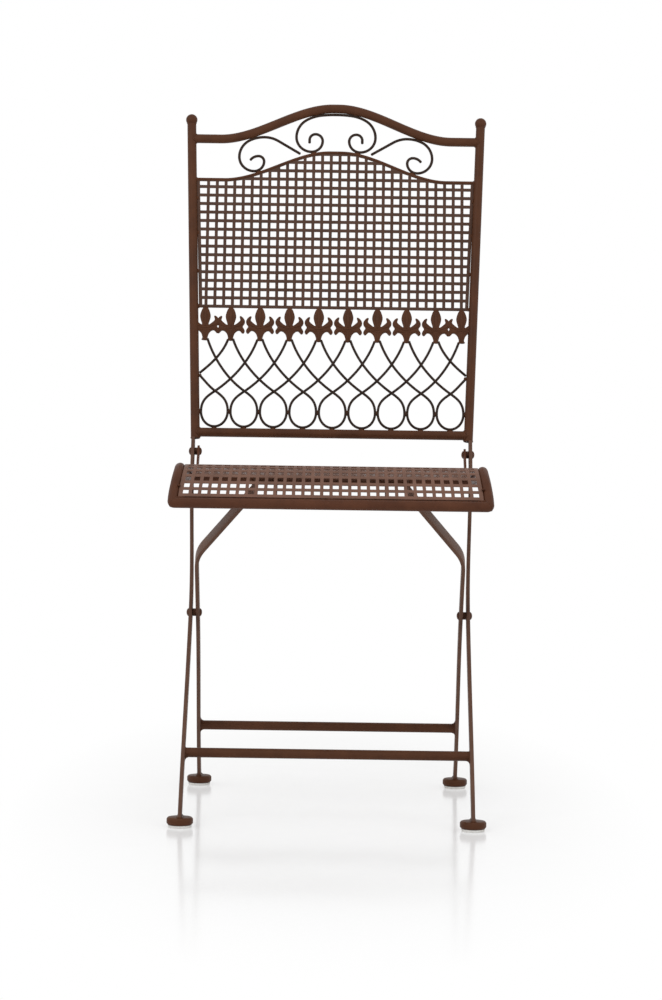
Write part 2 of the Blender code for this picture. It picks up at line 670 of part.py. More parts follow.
def build_front_stretcher(shop):
    """Tube between the front leg bars."""
    reach = front_bar_x(FRONT_STRETCHER_Z) - BAR_THICKNESS / 2 - TOUCH_GAP
    y = CROSS_PIVOT_Y - math.tan(FRONT_LEAN) * (CROSS_PIVOT_Z - FRONT_STRETCHER_Z)
    ends = [(-reach, 0.0, 0.0), (reach, 0.0, 0.0)]
    hollow_tube(shop, "front_stretcher", ends, TUBE_RADIUS, TUBE_WALL, TUBE_SIDES, shop.chair, "paint",
                place=(0.0, y, FRONT_STRETCHER_Z))


def build_feet(shop):
    """A painted cap under each leg bar, standing on a white pad."""
    radius = FOOT_DIAMETER / 2
    body = radius - FOOT_FLANGE_LIP
    edge = 0.0010
    cap = [(0.0, FOOT_CAP_HEIGHT), (body - edge, FOOT_CAP_HEIGHT), (body, FOOT_CAP_HEIGHT - edge),
           (body, FOOT_FLANGE_HEIGHT), (radius, FOOT_FLANGE_HEIGHT - FOOT_FLANGE_LIP), (radius, edge),
           (radius - edge, 0.0), (0.0, 0.0)]
    pad_radius = FOOT_PAD_DIAMETER / 2
    pad = [(0.0, FOOT_PAD_HEIGHT), (pad_radius, FOOT_PAD_HEIGHT), (pad_radius, edge),
           (pad_radius - edge, 0.0), (0.0, 0.0)]
    rear_y = CROSS_PIVOT_Y + math.tan(REAR_LEAN) * LEG_RISE
    places = {"front": (FRONT_FOOT_X, 0.0, shop.chair), "rear": (REAR_FOOT_X, rear_y, shop.rear_hinge)}
    for end, (x, y, parent) in places.items():
        home = Vector() if parent is shop.chair else from_hinge(parent)
        for side, sign in both_sides():
            centre = Vector((sign * x, y, 0.0)) + home
            lifted = centre + Vector((0.0, 0.0, FOOT_PAD_HEIGHT + TOUCH_GAP))
            shop.add(turned(f"{end}_foot_cap_{side}", cap, FOOT_STEPS), parent, "paint", lifted)
            shop.add(turned(f"{end}_foot_pad_{side}", pad, FOOT_STEPS), parent, "pad", centre)


def rivet_profile(faces):
    """Profile of a rivet with a domed head at each end and a collar between its two plates.

    faces lists the plates' four faces along the rivet, from the outside in.
    """
    head = RIVET_HEAD_DIAMETER / 2
    shank = RIVET_SHANK_DIAMETER / 2
    collar = RIVET_COLLAR_DIAMETER / 2
    outer, collar_top, collar_foot, inner = faces
    top = outer + TOUCH_GAP
    foot = inner - TOUCH_GAP
    dome = [(head * math.sin(turn), RIVET_HEAD_HEIGHT * math.cos(turn))
            for turn in np.linspace(0.0, math.pi / 2, 4)]
    upper = [(radius, top + height) for radius, height in dome]
    lower = [(radius, foot - height) for radius, height in reversed(dome)]
    middle = [(shank, top), (shank, collar_top - TOUCH_GAP), (collar, collar_top - TOUCH_GAP),
              (collar, collar_foot + TOUCH_GAP), (shank, collar_foot + TOUCH_GAP), (shank, foot)]
    return upper + middle + lower


def build_rivets(shop):
    """Rivets at the crossing of the legs and at the seat's ears."""
    half = BAR_THICKNESS / 2
    cross = (FRONT_BAR_CROSS_X + half, FRONT_BAR_CROSS_X - half, REAR_BAR_CROSS_X + half,
             REAR_BAR_CROSS_X - half)
    ear_half = EAR_THICKNESS / 2
    seat = (BACK_BAR_SEAT_X + half, BACK_BAR_SEAT_X - half, EAR_X + ear_half, EAR_X - ear_half)
    for side, sign in both_sides():
        turn = (0.0, sign * math.pi / 2, 0.0)
        shop.add(turned(f"leg_rivet_{side}", rivet_profile(cross), TURNED_STEPS), shop.chair, "paint",
                 (0.0, CROSS_PIVOT_Y, CROSS_PIVOT_Z), turn)
        shop.add(turned(f"seat_rivet_{side}", rivet_profile(seat), TURNED_STEPS), shop.chair, "paint",
                 (0.0, SEAT_PIVOT_Y, SEAT_PIVOT_Z), turn)


def mitre_plane(corner, along, other):
    """Plane that mitres the tube leaving a corner along one way against the other tube."""
    normal = (Vector(along) - Vector(other)).normalized()
    return Vector(corner) + normal * TOUCH_GAP / 2, normal


def build_seat_frame(shop):
    """Four mitred tubes: level ones front and rear, and side rails that bend down to the front."""
    hinge = shop.seat_hinge
    home = from_hinge(hinge)
    length = seat_length()
    front, _ = seat_rail_point(0.0)
    rear, _ = seat_rail_point(length)
    front_way = Vector((0.0, math.cos(SEAT_FRONT_SLOPE), math.sin(SEAT_FRONT_SLOPE)))
    rear_way = Vector((0.0, -math.cos(SEAT_REAR_SLOPE), math.sin(SEAT_REAR_SLOPE)))
    stock = (SEAT_TUBE_RADIUS, SEAT_TUBE_WALL, TUBE_SIDES, hinge, "seat")
    for side, sign in both_sides():
        outward = Vector((sign * SEAT_RAIL_X, 0.0, 0.0))
        inward = Vector((-sign, 0.0, 0.0))
        steps = [0.0, *np.linspace(SEAT_FRONT_RUN, SEAT_ARC_END_RUN, SEAT_ARC_SEGMENTS + 1), length]
        points = [seat_rail_point(step)[0] + outward for step in steps]
        mitres = [mitre_plane(front + outward, front_way, inward),
                  mitre_plane(rear + outward, rear_way, inward)]
        hollow_tube(shop, f"seat_rail_{side}", points, *stock, mitres, home)
    for name, corner, way in (("seat_front_rail", front, front_way), ("seat_rear_rail", rear, rear_way)):
        reach = Vector((SEAT_RAIL_X, 0.0, 0.0))
        mitres = [mitre_plane(corner - reach, (1.0, 0.0, 0.0), way),
                  mitre_plane(corner + reach, (-1.0, 0.0, 0.0), way)]
        hollow_tube(shop, name, [corner - reach, corner + reach], *stock, mitres, home)


def strip_edges(first, last, gaps, border, strip):
    """Both edges of every strip of a net, from border strip to border strip."""
    inner_first = first + border / 2
    inner_last = last - border / 2
    centres = np.linspace(inner_first, inner_last, gaps + 1)
    widths = np.full(gaps + 1, strip)
    widths[[0, -1]] = border
    return np.column_stack([centres - widths / 2, centres + widths / 2]).ravel()


def seat_net_margin():
    """Distance from a seat rail's axis to the net's edge."""
    return math.sqrt(SEAT_TUBE_RADIUS ** 2 - SEAT_NET_RISE ** 2) + SEAT_NET_GROOVE


def seat_net_runs():
    """Edges of the net's level strips, as distances along the side rails."""
    margin = seat_net_margin()
    return strip_edges(margin, seat_length() - margin, SEAT_NET_ROWS, SEAT_NET_BORDER, SEAT_NET_STRIP)


def seat_net_section(first, last):
    """Edges of the level strips of one section, which ends in the middle of a shared strip."""
    runs = list(seat_net_runs()[2 * first:2 * last + 2])
    if first > 0:
        runs[0] = (runs[0] + runs[1] + TOUCH_GAP) / 2
    if last < SEAT_NET_ROWS:
        runs[-1] = (runs[-2] + runs[-1] - TOUCH_GAP) / 2
    return runs


def build_seat_net(shop):
    """Square net of flat strips that follows the side rails, tied to the frame by short tabs.

    It is made in three sections, one behind the other, so that each is nearly flat.
    """
    hinge = shop.seat_hinge
    margin = seat_net_margin()
    tab = SEAT_NET_GROOVE - TOUCH_GAP
    xs = strip_edges(-SEAT_RAIL_X + margin, SEAT_RAIL_X - margin, SEAT_NET_COLUMNS, SEAT_NET_BORDER,
                     SEAT_NET_STRIP)
    xs = [xs[0] - tab, *xs, xs[-1] + tab]
    columns = len(xs) - 1
    tab_columns = (1, columns // 2, columns - 2)
    first = 0
    for name, count in SEAT_NET_SECTIONS.items():
        last = first + count
        runs = seat_net_section(first, last)
        front_tabs = 1 if first == 0 else 0
        rear_tabs = 1 if last == SEAT_NET_ROWS else 0
        runs = [runs[0] - tab] * front_tabs + runs + [runs[-1] + tab] * rear_tabs
        side_tab_rows = (2, 2 * (count // 2), 2 * (count - 1))

        def keep(column, row):
            strip = row - front_tabs
            if strip in (-1, 2 * count + 1):
                return column in tab_columns
            if column in (0, columns - 1):
                return strip in side_tab_rows
            return column % 2 == 1 or strip % 2 == 0

        def place(column, row):
            return seat_surface_point(xs[column], runs[row])

        net = mapped_grid(f"seat_net_{name}", columns, len(runs) - 1, place, keep)
        thicken(net, SEAT_NET_THICKNESS)
        shop.add(net, hinge, "seat", from_hinge(hinge))
        first = last


def arc_points(centre, radius, start, end, count):
    """Points along an arc in a plane."""
    return [(centre[0] + radius * math.cos(turn), centre[1] + radius * math.sin(turn))
            for turn in np.linspace(start, end, count)]


def build_ears(shop):
    """Plates that stand on the seat's rear rail and turn on the seat rivets."""
    hinge = shop.seat_hinge
    rail, _ = seat_rail_point(seat_length())
    rise = Vector((SEAT_PIVOT_Y - rail.y, SEAT_PIVOT_Z - rail.z))
    lean = math.atan2(rise.y, rise.x)
    saddle = SEAT_TUBE_RADIUS + TOUCH_GAP
    spread = math.asin(EAR_FOOT_HALF_WIDTH / saddle)
    top = arc_points((0.0, 0.0), EAR_RADIUS, lean - math.pi / 2, lean + math.pi / 2, 9)
    foot = arc_points(-rise, saddle, lean + spread, lean - spread, 7)
    hole = arc_points((0.0, 0.0), RIVET_SHANK_DIAMETER / 2 + RIVET_CLEARANCE, 0.0, 2 * math.pi, FOOT_STEPS + 1)
    for side, sign in both_sides():
        plate = flat_plate(f"seat_ear_{side}", [top + foot, hole[:-1]], EAR_THICKNESS)
        shop.add(plate, hinge, "seat", (sign * EAR_X, 0.0, 0.0), SIDE_VIEW)


def build_hooks(shop):
    """Plates behind the seat's front rail whose notches rest on the support rod."""
    hinge = shop.seat_hinge
    rod = Vector(cross_rod_place())
    notch = CROSS_ROD_RADIUS + TOUCH_GAP
    saddle = SEAT_TUBE_RADIUS + TOUCH_GAP
    below_net = SEAT_NET_RISE - SEAT_NET_THICKNESS / 2 - TOUCH_GAP
    tail_y = rod.x + HOOK_TAIL
    rows = [seat_rail_point(run) for run in seat_net_runs()]
    line = np.array([(point.y - below_net * math.sin(slope), point.z + below_net * math.cos(slope))
                     for point, slope in rows])
    under = [tuple(point) for point in line if point[0] < tail_y]
    under.append((tail_y, float(np.interp(tail_y, line[:, 0], line[:, 1]))))
    rail = (SEAT_FRONT_Y, SEAT_FRONT_Z)
    upper = math.atan2(under[0][1] - rail[1], under[0][0] - rail[0])
    saddle_arc = arc_points(rail, saddle, HOOK_CHIN_ANGLE, upper, 5)
    cheek = arc_points(rod, notch, math.pi / 2, math.pi, 5)
    front_wall = rod.x - notch
    outline = saddle_arc + under + [(tail_y, rod.y + notch)] + cheek
    outline += [(front_wall, rod.y - HOOK_DEPTH), (front_wall - HOOK_WALL, rod.y - HOOK_DEPTH - HOOK_CHIN)]
    for side, sign in both_sides():
        plate = flat_plate(f"seat_hook_{side}", [outline], HOOK_THICKNESS)
        shop.add(plate, hinge, "seat", Vector((sign * HOOK_X, 0.0, 0.0)) + from_hinge(hinge), SIDE_VIEW)


def back_path(xs, heights, layers):
    """Points in the plane of the back: across, up and out of the plane towards the front."""
    return [Vector(point) for point in zip(xs, heights, layers)]


def build_posts(shop):
    """Two tubes that splay upwards, each closed at the top by a ball finial."""
    radius = FINIAL_DIAMETER / 2
    neck_angle = math.pi - math.asin(TUBE_RADIUS / radius)
    ball = [(radius * math.sin(turn), radius * math.cos(turn)) for turn in np.linspace(0.0, neck_angle, 9)]
    foot = -FINIAL_HEIGHT / math.cos(POST_SPLAY)
    bore = TUBE_RADIUS - TUBE_WALL
    bore_top = ball[-1][1] - TUBE_WALL
    profile = ball + [(TUBE_RADIUS, foot), (bore, foot), (bore, bore_top), (0.0, bore_top)]
    for side, sign in both_sides():
        place = (sign * post_x(FINIAL_HEIGHT), FINIAL_HEIGHT, 0.0)
        turn = Euler((-math.pi / 2, 0.0, 0.0))
        turn.rotate_axis("Y", sign * POST_SPLAY)
        shop.add(turned(f"back_post_{side}", profile, POST_SIDES), shop.backrest, "paint", place, turn)


def post_cutter(shop, name, like, sign):
    """Cutter a little wider than a post, which shapes the end of a rail to it."""
    points = [(sign * post_x(-BAR_WIDTH), -BAR_WIDTH, 0.0), (sign * post_x(FINIAL_HEIGHT), FINIAL_HEIGHT, 0.0)]
    return shop.add_cutter(wire_mesh(name, points, TUBE_RADIUS + TOUCH_GAP, POST_SIDES), like)


def crest_line():
    """Corners of the crest rail's axis."""
    end = post_x(CREST_END_HEIGHT)
    xs = np.linspace(-end, end, CREST_SEGMENTS + 1)
    return np.column_stack([xs, crest_height(xs)])


def net_edge_line():
    """Corners of the axis of the net's edge rod."""
    end = post_face_x(NET_EDGE_END_HEIGHT) - TOUCH_GAP
    xs = np.linspace(-end, end, CREST_SEGMENTS + 1)
    return np.column_stack([xs, net_edge_height(xs)])


def build_back_rails(shop):
    """Crest rail and lower rail, tubes whose ends are shaped to the posts."""
    crest = [(x, height, 0.0) for x, height in crest_line()]
    end = post_x(LOWER_RAIL_HEIGHT)
    lower = [(-end, LOWER_RAIL_HEIGHT, 0.0), (end, LOWER_RAIL_HEIGHT, 0.0)]
    for name, points in (("crest_rail", crest), ("back_lower_rail", lower)):
        rail = hollow_tube(shop, name, points, TUBE_RADIUS, TUBE_WALL, TUBE_SIDES, shop.backrest, "paint")
        for side, sign in both_sides():
            shop.cut(rail, post_cutter(shop, f"{name}_{side}_end", rail, sign))


def build_net_edge(shop):
    """Rod along the top of the back net."""
    points = [(x, height, 0.0) for x, height in net_edge_line()]
    shop.add(wire_curve("back_net_edge", points, EDGE_RADIUS, WIRE_SIDES), shop.backrest, "paint")


def build_back_net(shop):
    """Flat net between the posts, its top cut to the edge rod's curve."""
    foot = NET_FOOT_HEIGHT - NET_FOOT_STRIP / 2
    under_edge = EDGE_RADIUS + TOUCH_GAP
    top_end = NET_EDGE_END_HEIGHT - under_edge
    half_foot = post_face_x(foot) - NET_SIDE_GAP_FOOT
    half_top = post_face_x(top_end) - TOUCH_GAP
    xs = np.linspace(half_top, -half_top, CREST_SEGMENTS + 1)
    outline = [(-half_foot, foot), (half_foot, foot)]
    outline += [(x, y) for x, y in zip(xs, net_edge_height(xs) - under_edge)]
    top_middle = float(net_edge_height(0.0)) - under_edge
    columns = strip_edges(-half_foot, half_foot, NET_COLUMNS, NET_SIDE_STRIP, NET_STRIP)
    rows = strip_edges(foot, top_middle, NET_ROWS, NET_FOOT_STRIP, NET_STRIP)
    lean = (half_top - half_foot) / (top_end - foot)
    holes = []
    for left, right in zip(columns[1::2], columns[2::2]):
        for bottom, top in zip(rows[1::2], rows[2::2]):
            limits = [float(net_edge_height(x)) - under_edge - NET_SIDE_STRIP for x in (left, right)]
            upper_left = min(top, limits[0])
            upper_right = min(top, limits[1])
            if min(upper_left, upper_right) - bottom < NET_LEAST_HOLE:
                continue
            if left == columns[1]:
                shifts = [lean * (height - foot) for height in (bottom, upper_left)]
            else:
                shifts = [0.0, 0.0]
            spread = [0.0, 0.0]
            if right == columns[-2]:
                spread = [lean * (height - foot) for height in (bottom, upper_right)]
            holes.append([(left - shifts[0], bottom), (right + spread[0], bottom),
                          (right + spread[1], upper_right), (left - shifts[1], upper_left)])
    shop.add(flat_plate("back_net", [outline, *holes], NET_THICKNESS), shop.backrest, "paint")


def fleur_half():
    """Right half of a fleur-de-lis outline from the base up, without the leaf's top."""
    arm = FLEUR_WIDTH / 2
    high = FLEUR_ARM_HEIGHT
    leaf = FLEUR_LEAF_WIDTH / 2
    lower_curl = [(0.28, 0.25), (0.45, 0.35), (0.62, 0.37), (0.72, 0.32), (0.83, 0.26), (0.93, 0.27),
                  (1.0, 0.35), (0.97, 0.43)]
    upper_curl = [(0.86, 0.53), (0.88, 0.59), (0.98, 0.68), (1.0, 0.80), (0.89, 0.92), (0.72, 1.0),
                  (0.62, 0.98), (0.67, 0.83), (0.50, 0.72)]
    arms = [(arm * x, high * y) for x, y in lower_curl + upper_curl]
    waist = (0.66 * leaf, 0.63 * high)
    return [(FLEUR_BASE_HALF_WIDTH, 0.0), (1.1 * FLEUR_BASE_HALF_WIDTH, 0.09 * high), *arms, waist]


def fleur_outline():
    """Outline of a fleur-de-lis, with its leaf reaching up to the net's foot strip."""
    leaf = FLEUR_LEAF_WIDTH / 2
    top = NET_FOOT_HEIGHT - NET_FOOT_STRIP / 2 - TOUCH_GAP - FLEUR_BASE_HEIGHT
    waist_height = 0.66 * FLEUR_ARM_HEIGHT
    swell = [(0.62, 0.0), (0.88, 0.22), (1.0, 0.48), (0.82, 0.76), (0.42, 1.0)]
    leaf_side = [(leaf * x, waist_height + y * (top - waist_height)) for x, y in swell]
    right = fleur_half() + leaf_side
    left = [(-x, y) for x, y in reversed(right)]
    return right + left


def clipped(outline, limit, sign):
    """Outline cut by an upright line at a distance to one side."""
    kept = []
    for (x, y), (next_x, next_y) in zip(outline, outline[1:] + outline[:1]):
        inside = sign * x <= limit
        next_inside = sign * next_x <= limit
        if inside:
            kept.append((x, y))
        if inside != next_inside:
            share = (sign * limit - x) / (next_x - x)
            kept.append((sign * limit, y + share * (next_y - y)))
    return kept


def loop_pitch():
    """Distance between loops, which fill the width between the posts."""
    return 2 * post_face_x(loop_foot() + LOOP_WIDEST_RISE) / LOOP_COUNT


def loop_foot():
    """Height of the loops' lowest axis point, resting on the lower rail."""
    return LOWER_RAIL_HEIGHT + TUBE_RADIUS + TOUCH_GAP + LATTICE_RADIUS


def fleur_places():
    """Distances of the ornaments from the middle, with the end ones drawn in from the posts."""
    inner = (np.arange(FLEUR_COUNT) - (FLEUR_COUNT - 1) / 2) * loop_pitch()
    end = post_face_x(FLEUR_BASE_HEIGHT) - END_FLEUR_INSET
    inner[0] = -end
    inner[-1] = end
    return inner


def build_fleurs(shop):
    """Ten ornaments in a row; the end ones are cut to the posts and to their neighbours."""
    places = fleur_places()
    for number, x in enumerate(places):
        outline = fleur_outline()
        for sign, other in ((-1.0, number - 1), (1.0, number + 1)):
            if 0 <= other < FLEUR_COUNT:
                limit = abs(places[other] - x) / 2 - TOUCH_GAP / 2
            else:
                limit = post_face_x(FLEUR_BASE_HEIGHT) - abs(x) - TOUCH_GAP
            outline = clipped(outline, limit, sign)
        plate = flat_plate(f"fleur_{number + 1:02d}", [outline], FLEUR_THICKNESS)
        shop.add(plate, shop.backrest, "paint", (x, FLEUR_BASE_HEIGHT, 0.0))


def lattice_layer():
    """Distance of the crossing wires' axes from the plane of the back."""
    return LATTICE_RADIUS + TOUCH_GAP / 2


def hermite(start, end, start_way, end_way, count):
    """Smooth run of points from start to end, leaving and arriving along the two ways."""
    start, end = np.array(start, dtype=float), np.array(end, dtype=float)
    start_way, end_way = np.array(start_way, dtype=float), np.array(end_way, dtype=float)
    share = np.linspace(0.0, 1.0, count)[:, None]
    blend = share * share * (3.0 - 2.0 * share)
    leave = share * (1.0 - share) ** 2
    arrive = -share * share * (1.0 - share)
    return start * (1.0 - blend) + end * blend + start_way * leave + end_way * arrive


def wire_arm(loop_x, fleur_x, sign):
    """Arm of a loop wire from the loop's crossing up to an ornament's base."""
    foot = (loop_x, loop_foot() + LOOP_CROSS_RISE)
    drop = TOUCH_GAP + LATTICE_RADIUS * math.cos(LOOP_TOP_SLOPE)
    top = (fleur_x - sign * WIRE_FOOT_X, FLEUR_BASE_HEIGHT - drop)
    span = math.dist(foot, top)
    leave = (sign * span * math.cos(LOOP_CROSS_SLOPE), span * math.sin(LOOP_CROSS_SLOPE))
    arrive = (sign * span * math.cos(LOOP_TOP_SLOPE), span * math.sin(LOOP_TOP_SLOPE))
    return hermite(foot, top, leave, arrive, LOOP_ARM_POINTS)


def loop_half():
    """Right half of a loop from its crossing round to its foot, with the layer that each point keeps."""
    half_width = (loop_pitch() - TOUCH_GAP) / 2 - LATTICE_RADIUS
    foot = loop_foot()
    widest = foot + LOOP_WIDEST_RISE
    crossing = foot + LOOP_CROSS_RISE
    rise = crossing - widest
    leave = (1.4 * rise * math.cos(LOOP_CROSS_SLOPE), -1.4 * rise * math.sin(LOOP_CROSS_SLOPE))
    upper = hermite((0.0, crossing), (half_width, widest), leave, (0.0, -1.6 * rise), LOOP_UPPER_POINTS)
    turns = np.linspace(0.0, math.pi / 2, LOOP_LOWER_POINTS)[1:]
    lower = np.column_stack([half_width * np.cos(turns), widest - LOOP_WIDEST_RISE * np.sin(turns)])
    flat = np.vstack([upper, lower])
    layer = lattice_layer() * smoothstep((flat[:, 1] - widest) / rise)
    return flat, layer


def loop_wire_points(number):
    """Points of one loop wire, front layer first, then round the loop and up in the back layer."""
    pitch = loop_pitch()
    x = (number - (LOOP_COUNT - 1) / 2) * pitch
    places = fleur_places()
    half, layer = loop_half()
    right = back_path(x + half[:, 0], half[:, 1], layer)
    left = back_path(x - half[::-1, 0], half[::-1, 1], -layer[::-1])
    points = right + left[1:]
    crossing = loop_foot() + LOOP_CROSS_RISE
    start = number - 1
    end = number + 2
    if start >= 0:
        arm = wire_arm(x, places[start], -1.0)
        points = back_path(arm[:0:-1, 0], arm[:0:-1, 1], np.full(len(arm) - 1, lattice_layer())) + points
    else:
        points = [post_end(x, crossing, -1.0, lattice_layer())] + points
    if end < FLEUR_COUNT:
        arm = wire_arm(x, places[end], 1.0)
        points += back_path(arm[1:, 0], arm[1:, 1], np.full(len(arm) - 1, -lattice_layer()))
    else:
        points += [post_end(x, crossing, 1.0, -lattice_layer())]
    return points


def post_end(x, height, sign, layer):
    """End of a wire that runs straight up from a crossing to the nearest post."""
    inset = TOUCH_GAP + LATTICE_RADIUS * math.sin(END_WIRE_SLOPE)
    face = post_face_x(height) - inset
    run = face - abs(x)
    return Vector((sign * face, height + run * math.tan(END_WIRE_SLOPE), layer))


def side_wire_points(sign):
    """Points of the short wire from the second ornament down to the post."""
    places = fleur_places()
    fleur = places[-2] if sign > 0 else places[1]
    drop = TOUCH_GAP + LATTICE_RADIUS * math.cos(LOOP_TOP_SLOPE)
    top = (fleur + sign * WIRE_FOOT_X, FLEUR_BASE_HEIGHT - drop)
    crossing = loop_foot() + LOOP_CROSS_RISE
    end_loop = sign * (LOOP_COUNT - 1) / 2 * loop_pitch()
    meet = post_end(end_loop, crossing, sign, 0.0)
    foot = (meet.x, meet.y + 2 * LATTICE_RADIUS)
    span = math.dist(foot, top)
    leave = (-sign * span * math.cos(SIDE_WIRE_SLOPE), span * math.sin(SIDE_WIRE_SLOPE))
    arrive = (-sign * span * math.cos(LOOP_TOP_SLOPE), span * math.sin(LOOP_TOP_SLOPE))
    flat = hermite(foot, top, leave, arrive, LOOP_ARM_POINTS)
    layer = lattice_layer() if sign > 0 else -lattice_layer()
    return back_path(flat[:, 0], flat[:, 1], np.full(len(flat), layer))


def build_lattice(shop):
    """Nine loop wires that cross below the ornaments, and a short one at each side."""
    for number in range(LOOP_COUNT):
        name = f"lattice_wire_{number + 1:02d}"
        wire = wire_curve(name, loop_wire_points(number), LATTICE_RADIUS, WIRE_SIDES)
        shop.add(wire, shop.backrest, "wire")
    for side, sign in both_sides():
        wire = wire_curve(f"lattice_side_wire_{side}", side_wire_points(sign), LATTICE_RADIUS, WIRE_SIDES)
        shop.add(wire, shop.backrest, "wire")


def follow_turns(start, heading, turns):
    """Points along arcs that follow on from each other; each turn is a radius and an angle."""
    points = [np.array(start)]
    for radius, angle in turns:
        centre = points[-1] + radius * np.array([-math.sin(heading), math.cos(heading)]) * np.sign(angle)
        first = heading - math.pi / 2 * np.sign(angle)
        for step in np.linspace(0.0, angle, TURN_POINTS + 1)[1:]:
            points.append(centre + radius * np.array([math.cos(first + step), math.sin(first + step)]))
        heading += angle
    return np.array(points), heading


def dense(points):
    """A path's corners with the places between them filled in."""
    corners = np.arange(len(points))
    steps = np.linspace(0.0, len(points) - 1.0, 8 * (len(points) - 1) + 1)
    return np.column_stack([np.interp(steps, corners, points[:, axis]) for axis in (0, 1)])


def least_distance(points, rail):
    """Least distance from a path to a rail, both taken through their corners."""
    path = dense(points)
    line = dense(rail)
    return np.linalg.norm(path[:, None, :] - line[None, :, :], axis=2).min()


def centre_scroll_shape(scale):
    """Symmetric scroll at a scale, drawn from the middle of its arched top, as one path."""
    turns = [(radius * scale, math.radians(angle)) for radius, angle in CENTRE_SCROLL_TURNS]
    left, heading = follow_turns((0.0, 0.0), math.pi, turns)
    tip = left[-1] + CENTRE_SCROLL_TIP * scale * np.array([math.cos(heading), math.sin(heading)])
    left = np.vstack([left, tip])
    right = left[1:] * np.array([-1.0, 1.0])
    return np.vstack([left[::-1], right])


def side_scroll_shape(scale):
    """Left scroll at a scale, drawn from the top of its sweep, as tail and curl in one path."""
    curls = [(radius * scale, math.radians(angle)) for radius, angle in SIDE_SCROLL_TURNS]
    curl, _ = follow_turns((0.0, 0.0), math.pi, curls)
    tail, heading = follow_turns((0.0, 0.0), 0.0, [(SIDE_SCROLL_TAIL_RADIUS * scale, -SIDE_SCROLL_TAIL_TURN)])
    end = tail[-1] + SIDE_SCROLL_TAIL * scale * np.array([math.cos(heading), math.sin(heading)])
    return np.vstack([[end], tail[:0:-1], curl]) - np.array([SIDE_SCROLL_X, 0.0])


def fitted_scroll(shape_at):
    """Scroll, hung from the crest rail and scaled until it rests on the net's edge rod."""
    hang = TUBE_RADIUS + SCROLL_RADIUS + TOUCH_GAP
    rest = EDGE_RADIUS + SCROLL_RADIUS + TOUCH_GAP
    crest = crest_line()
    edge = net_edge_line()

    def hung(scale):
        shape = shape_at(scale)
        top = solve(lambda height: least_distance(shape + np.array([0.0, height]), crest) > hang,
                    NET_EDGE_END_HEIGHT, CREST_TOP_HEIGHT)
        return shape + np.array([0.0, top])

    return hung(solve(lambda scale: least_distance(hung(scale), edge) > rest, 0.2, 3.0))


def build_scrolls(shop):
    """Scroll rods between the crest rail and the net."""
    flat = fitted_scroll(centre_scroll_shape)
    path = back_path(flat[:, 0], flat[:, 1], np.zeros(len(flat)))
    shop.add(wire_curve("scroll_centre", path, SCROLL_RADIUS, WIRE_SIDES), shop.backrest, "wire")
    flat = fitted_scroll(side_scroll_shape)
    for side, sign in both_sides():
        path = back_path(-sign * flat[:, 0], flat[:, 1], np.zeros(len(flat)))
        shop.add(wire_curve(f"scroll_{side}", path, SCROLL_RADIUS, WIRE_SIDES), shop.backrest, "wire")


def main():
    """Build the whole chair."""
    clear_scene()
    shop = Workshop()
    build_posts(shop)
    build_back_rails(shop)
    build_net_edge(shop)
    build_back_net(shop)
    build_scrolls(shop)
    build_fleurs(shop)
    build_lattice(shop)
    build_leg_bars(shop)
    build_front_stretcher(shop)
    build_rear_legs(shop)
    build_seat_frame(shop)
    build_seat_net(shop)
    build_ears(shop)
    build_hooks(shop)
    build_rivets(shop)
    build_feet(shop)


main()
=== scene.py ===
"""Looks of a folding wrought iron garden chair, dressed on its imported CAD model.

The chair faces -Y. Each assembly rides on one CAD body: the back frame with the front legs, the
rear leg frame and the seat. Round pieces are swept or turned smooth, the nets get their full
number of openings, welded joints get beads, and every surface gets a procedural finish. Lengths
are in metres, and colours are in linear light.
"""

import json
import logging
import math
from collections.abc import Callable
from dataclasses import dataclass, field
from enum import Enum
from typing import ClassVar

import bmesh
import bpy
import numpy as np
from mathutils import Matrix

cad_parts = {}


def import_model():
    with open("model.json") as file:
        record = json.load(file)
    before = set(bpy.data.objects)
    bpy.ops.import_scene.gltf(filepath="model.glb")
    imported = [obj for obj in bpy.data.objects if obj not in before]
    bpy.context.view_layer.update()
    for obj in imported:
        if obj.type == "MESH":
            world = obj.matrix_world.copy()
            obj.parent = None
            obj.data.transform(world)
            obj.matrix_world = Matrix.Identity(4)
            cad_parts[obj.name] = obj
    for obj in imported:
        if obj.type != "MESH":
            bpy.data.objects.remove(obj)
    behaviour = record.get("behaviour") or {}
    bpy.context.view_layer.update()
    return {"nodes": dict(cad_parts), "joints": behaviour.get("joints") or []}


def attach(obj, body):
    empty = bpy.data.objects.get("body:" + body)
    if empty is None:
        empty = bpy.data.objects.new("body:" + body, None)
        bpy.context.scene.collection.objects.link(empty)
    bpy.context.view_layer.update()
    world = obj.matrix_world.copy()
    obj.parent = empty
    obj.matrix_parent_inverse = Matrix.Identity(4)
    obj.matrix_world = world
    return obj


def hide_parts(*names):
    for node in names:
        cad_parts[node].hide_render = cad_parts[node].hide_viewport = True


logging.basicConfig(level=logging.INFO, format="%(name)s %(message)s")
log = logging.getLogger("garden_chair")

Array = np.ndarray
Number = np.ndarray | float
Face = tuple[int, ...]
Pair = tuple[float, float]
Triple = tuple[float, float, float]
Pairs = tuple[Pair, ...]
Item = bpy.types.Object
Socket = bpy.types.NodeSocket
Input = Socket | float | tuple[float, ...]
Curve = Callable[[Number], Number]

ACROSS = np.array([1.0, 0.0, 0.0])
BACKWARD = np.array([0.0, 1.0, 0.0])
UPWARD = np.array([0.0, 0.0, 1.0])
SIDES = {"left": -1.0, "right": 1.0}
MIRROR = np.array([-1.0, 1.0])
QUARTER_TURN = math.pi / 2
FULL_TURN = 2 * math.pi
MILLIMETRES = 1000.0
WHITE = (1.0, 1.0, 1.0, 1.0)

# Nodes that are used more than once. The mixer's colour inputs and colour output go by number.
MIX_NODE = "ShaderNodeMix"
MIX_A = 6
MIX_B = 7
MIX_RESULT = 2
MATERIAL_OUTPUT = "ShaderNodeOutputMaterial"

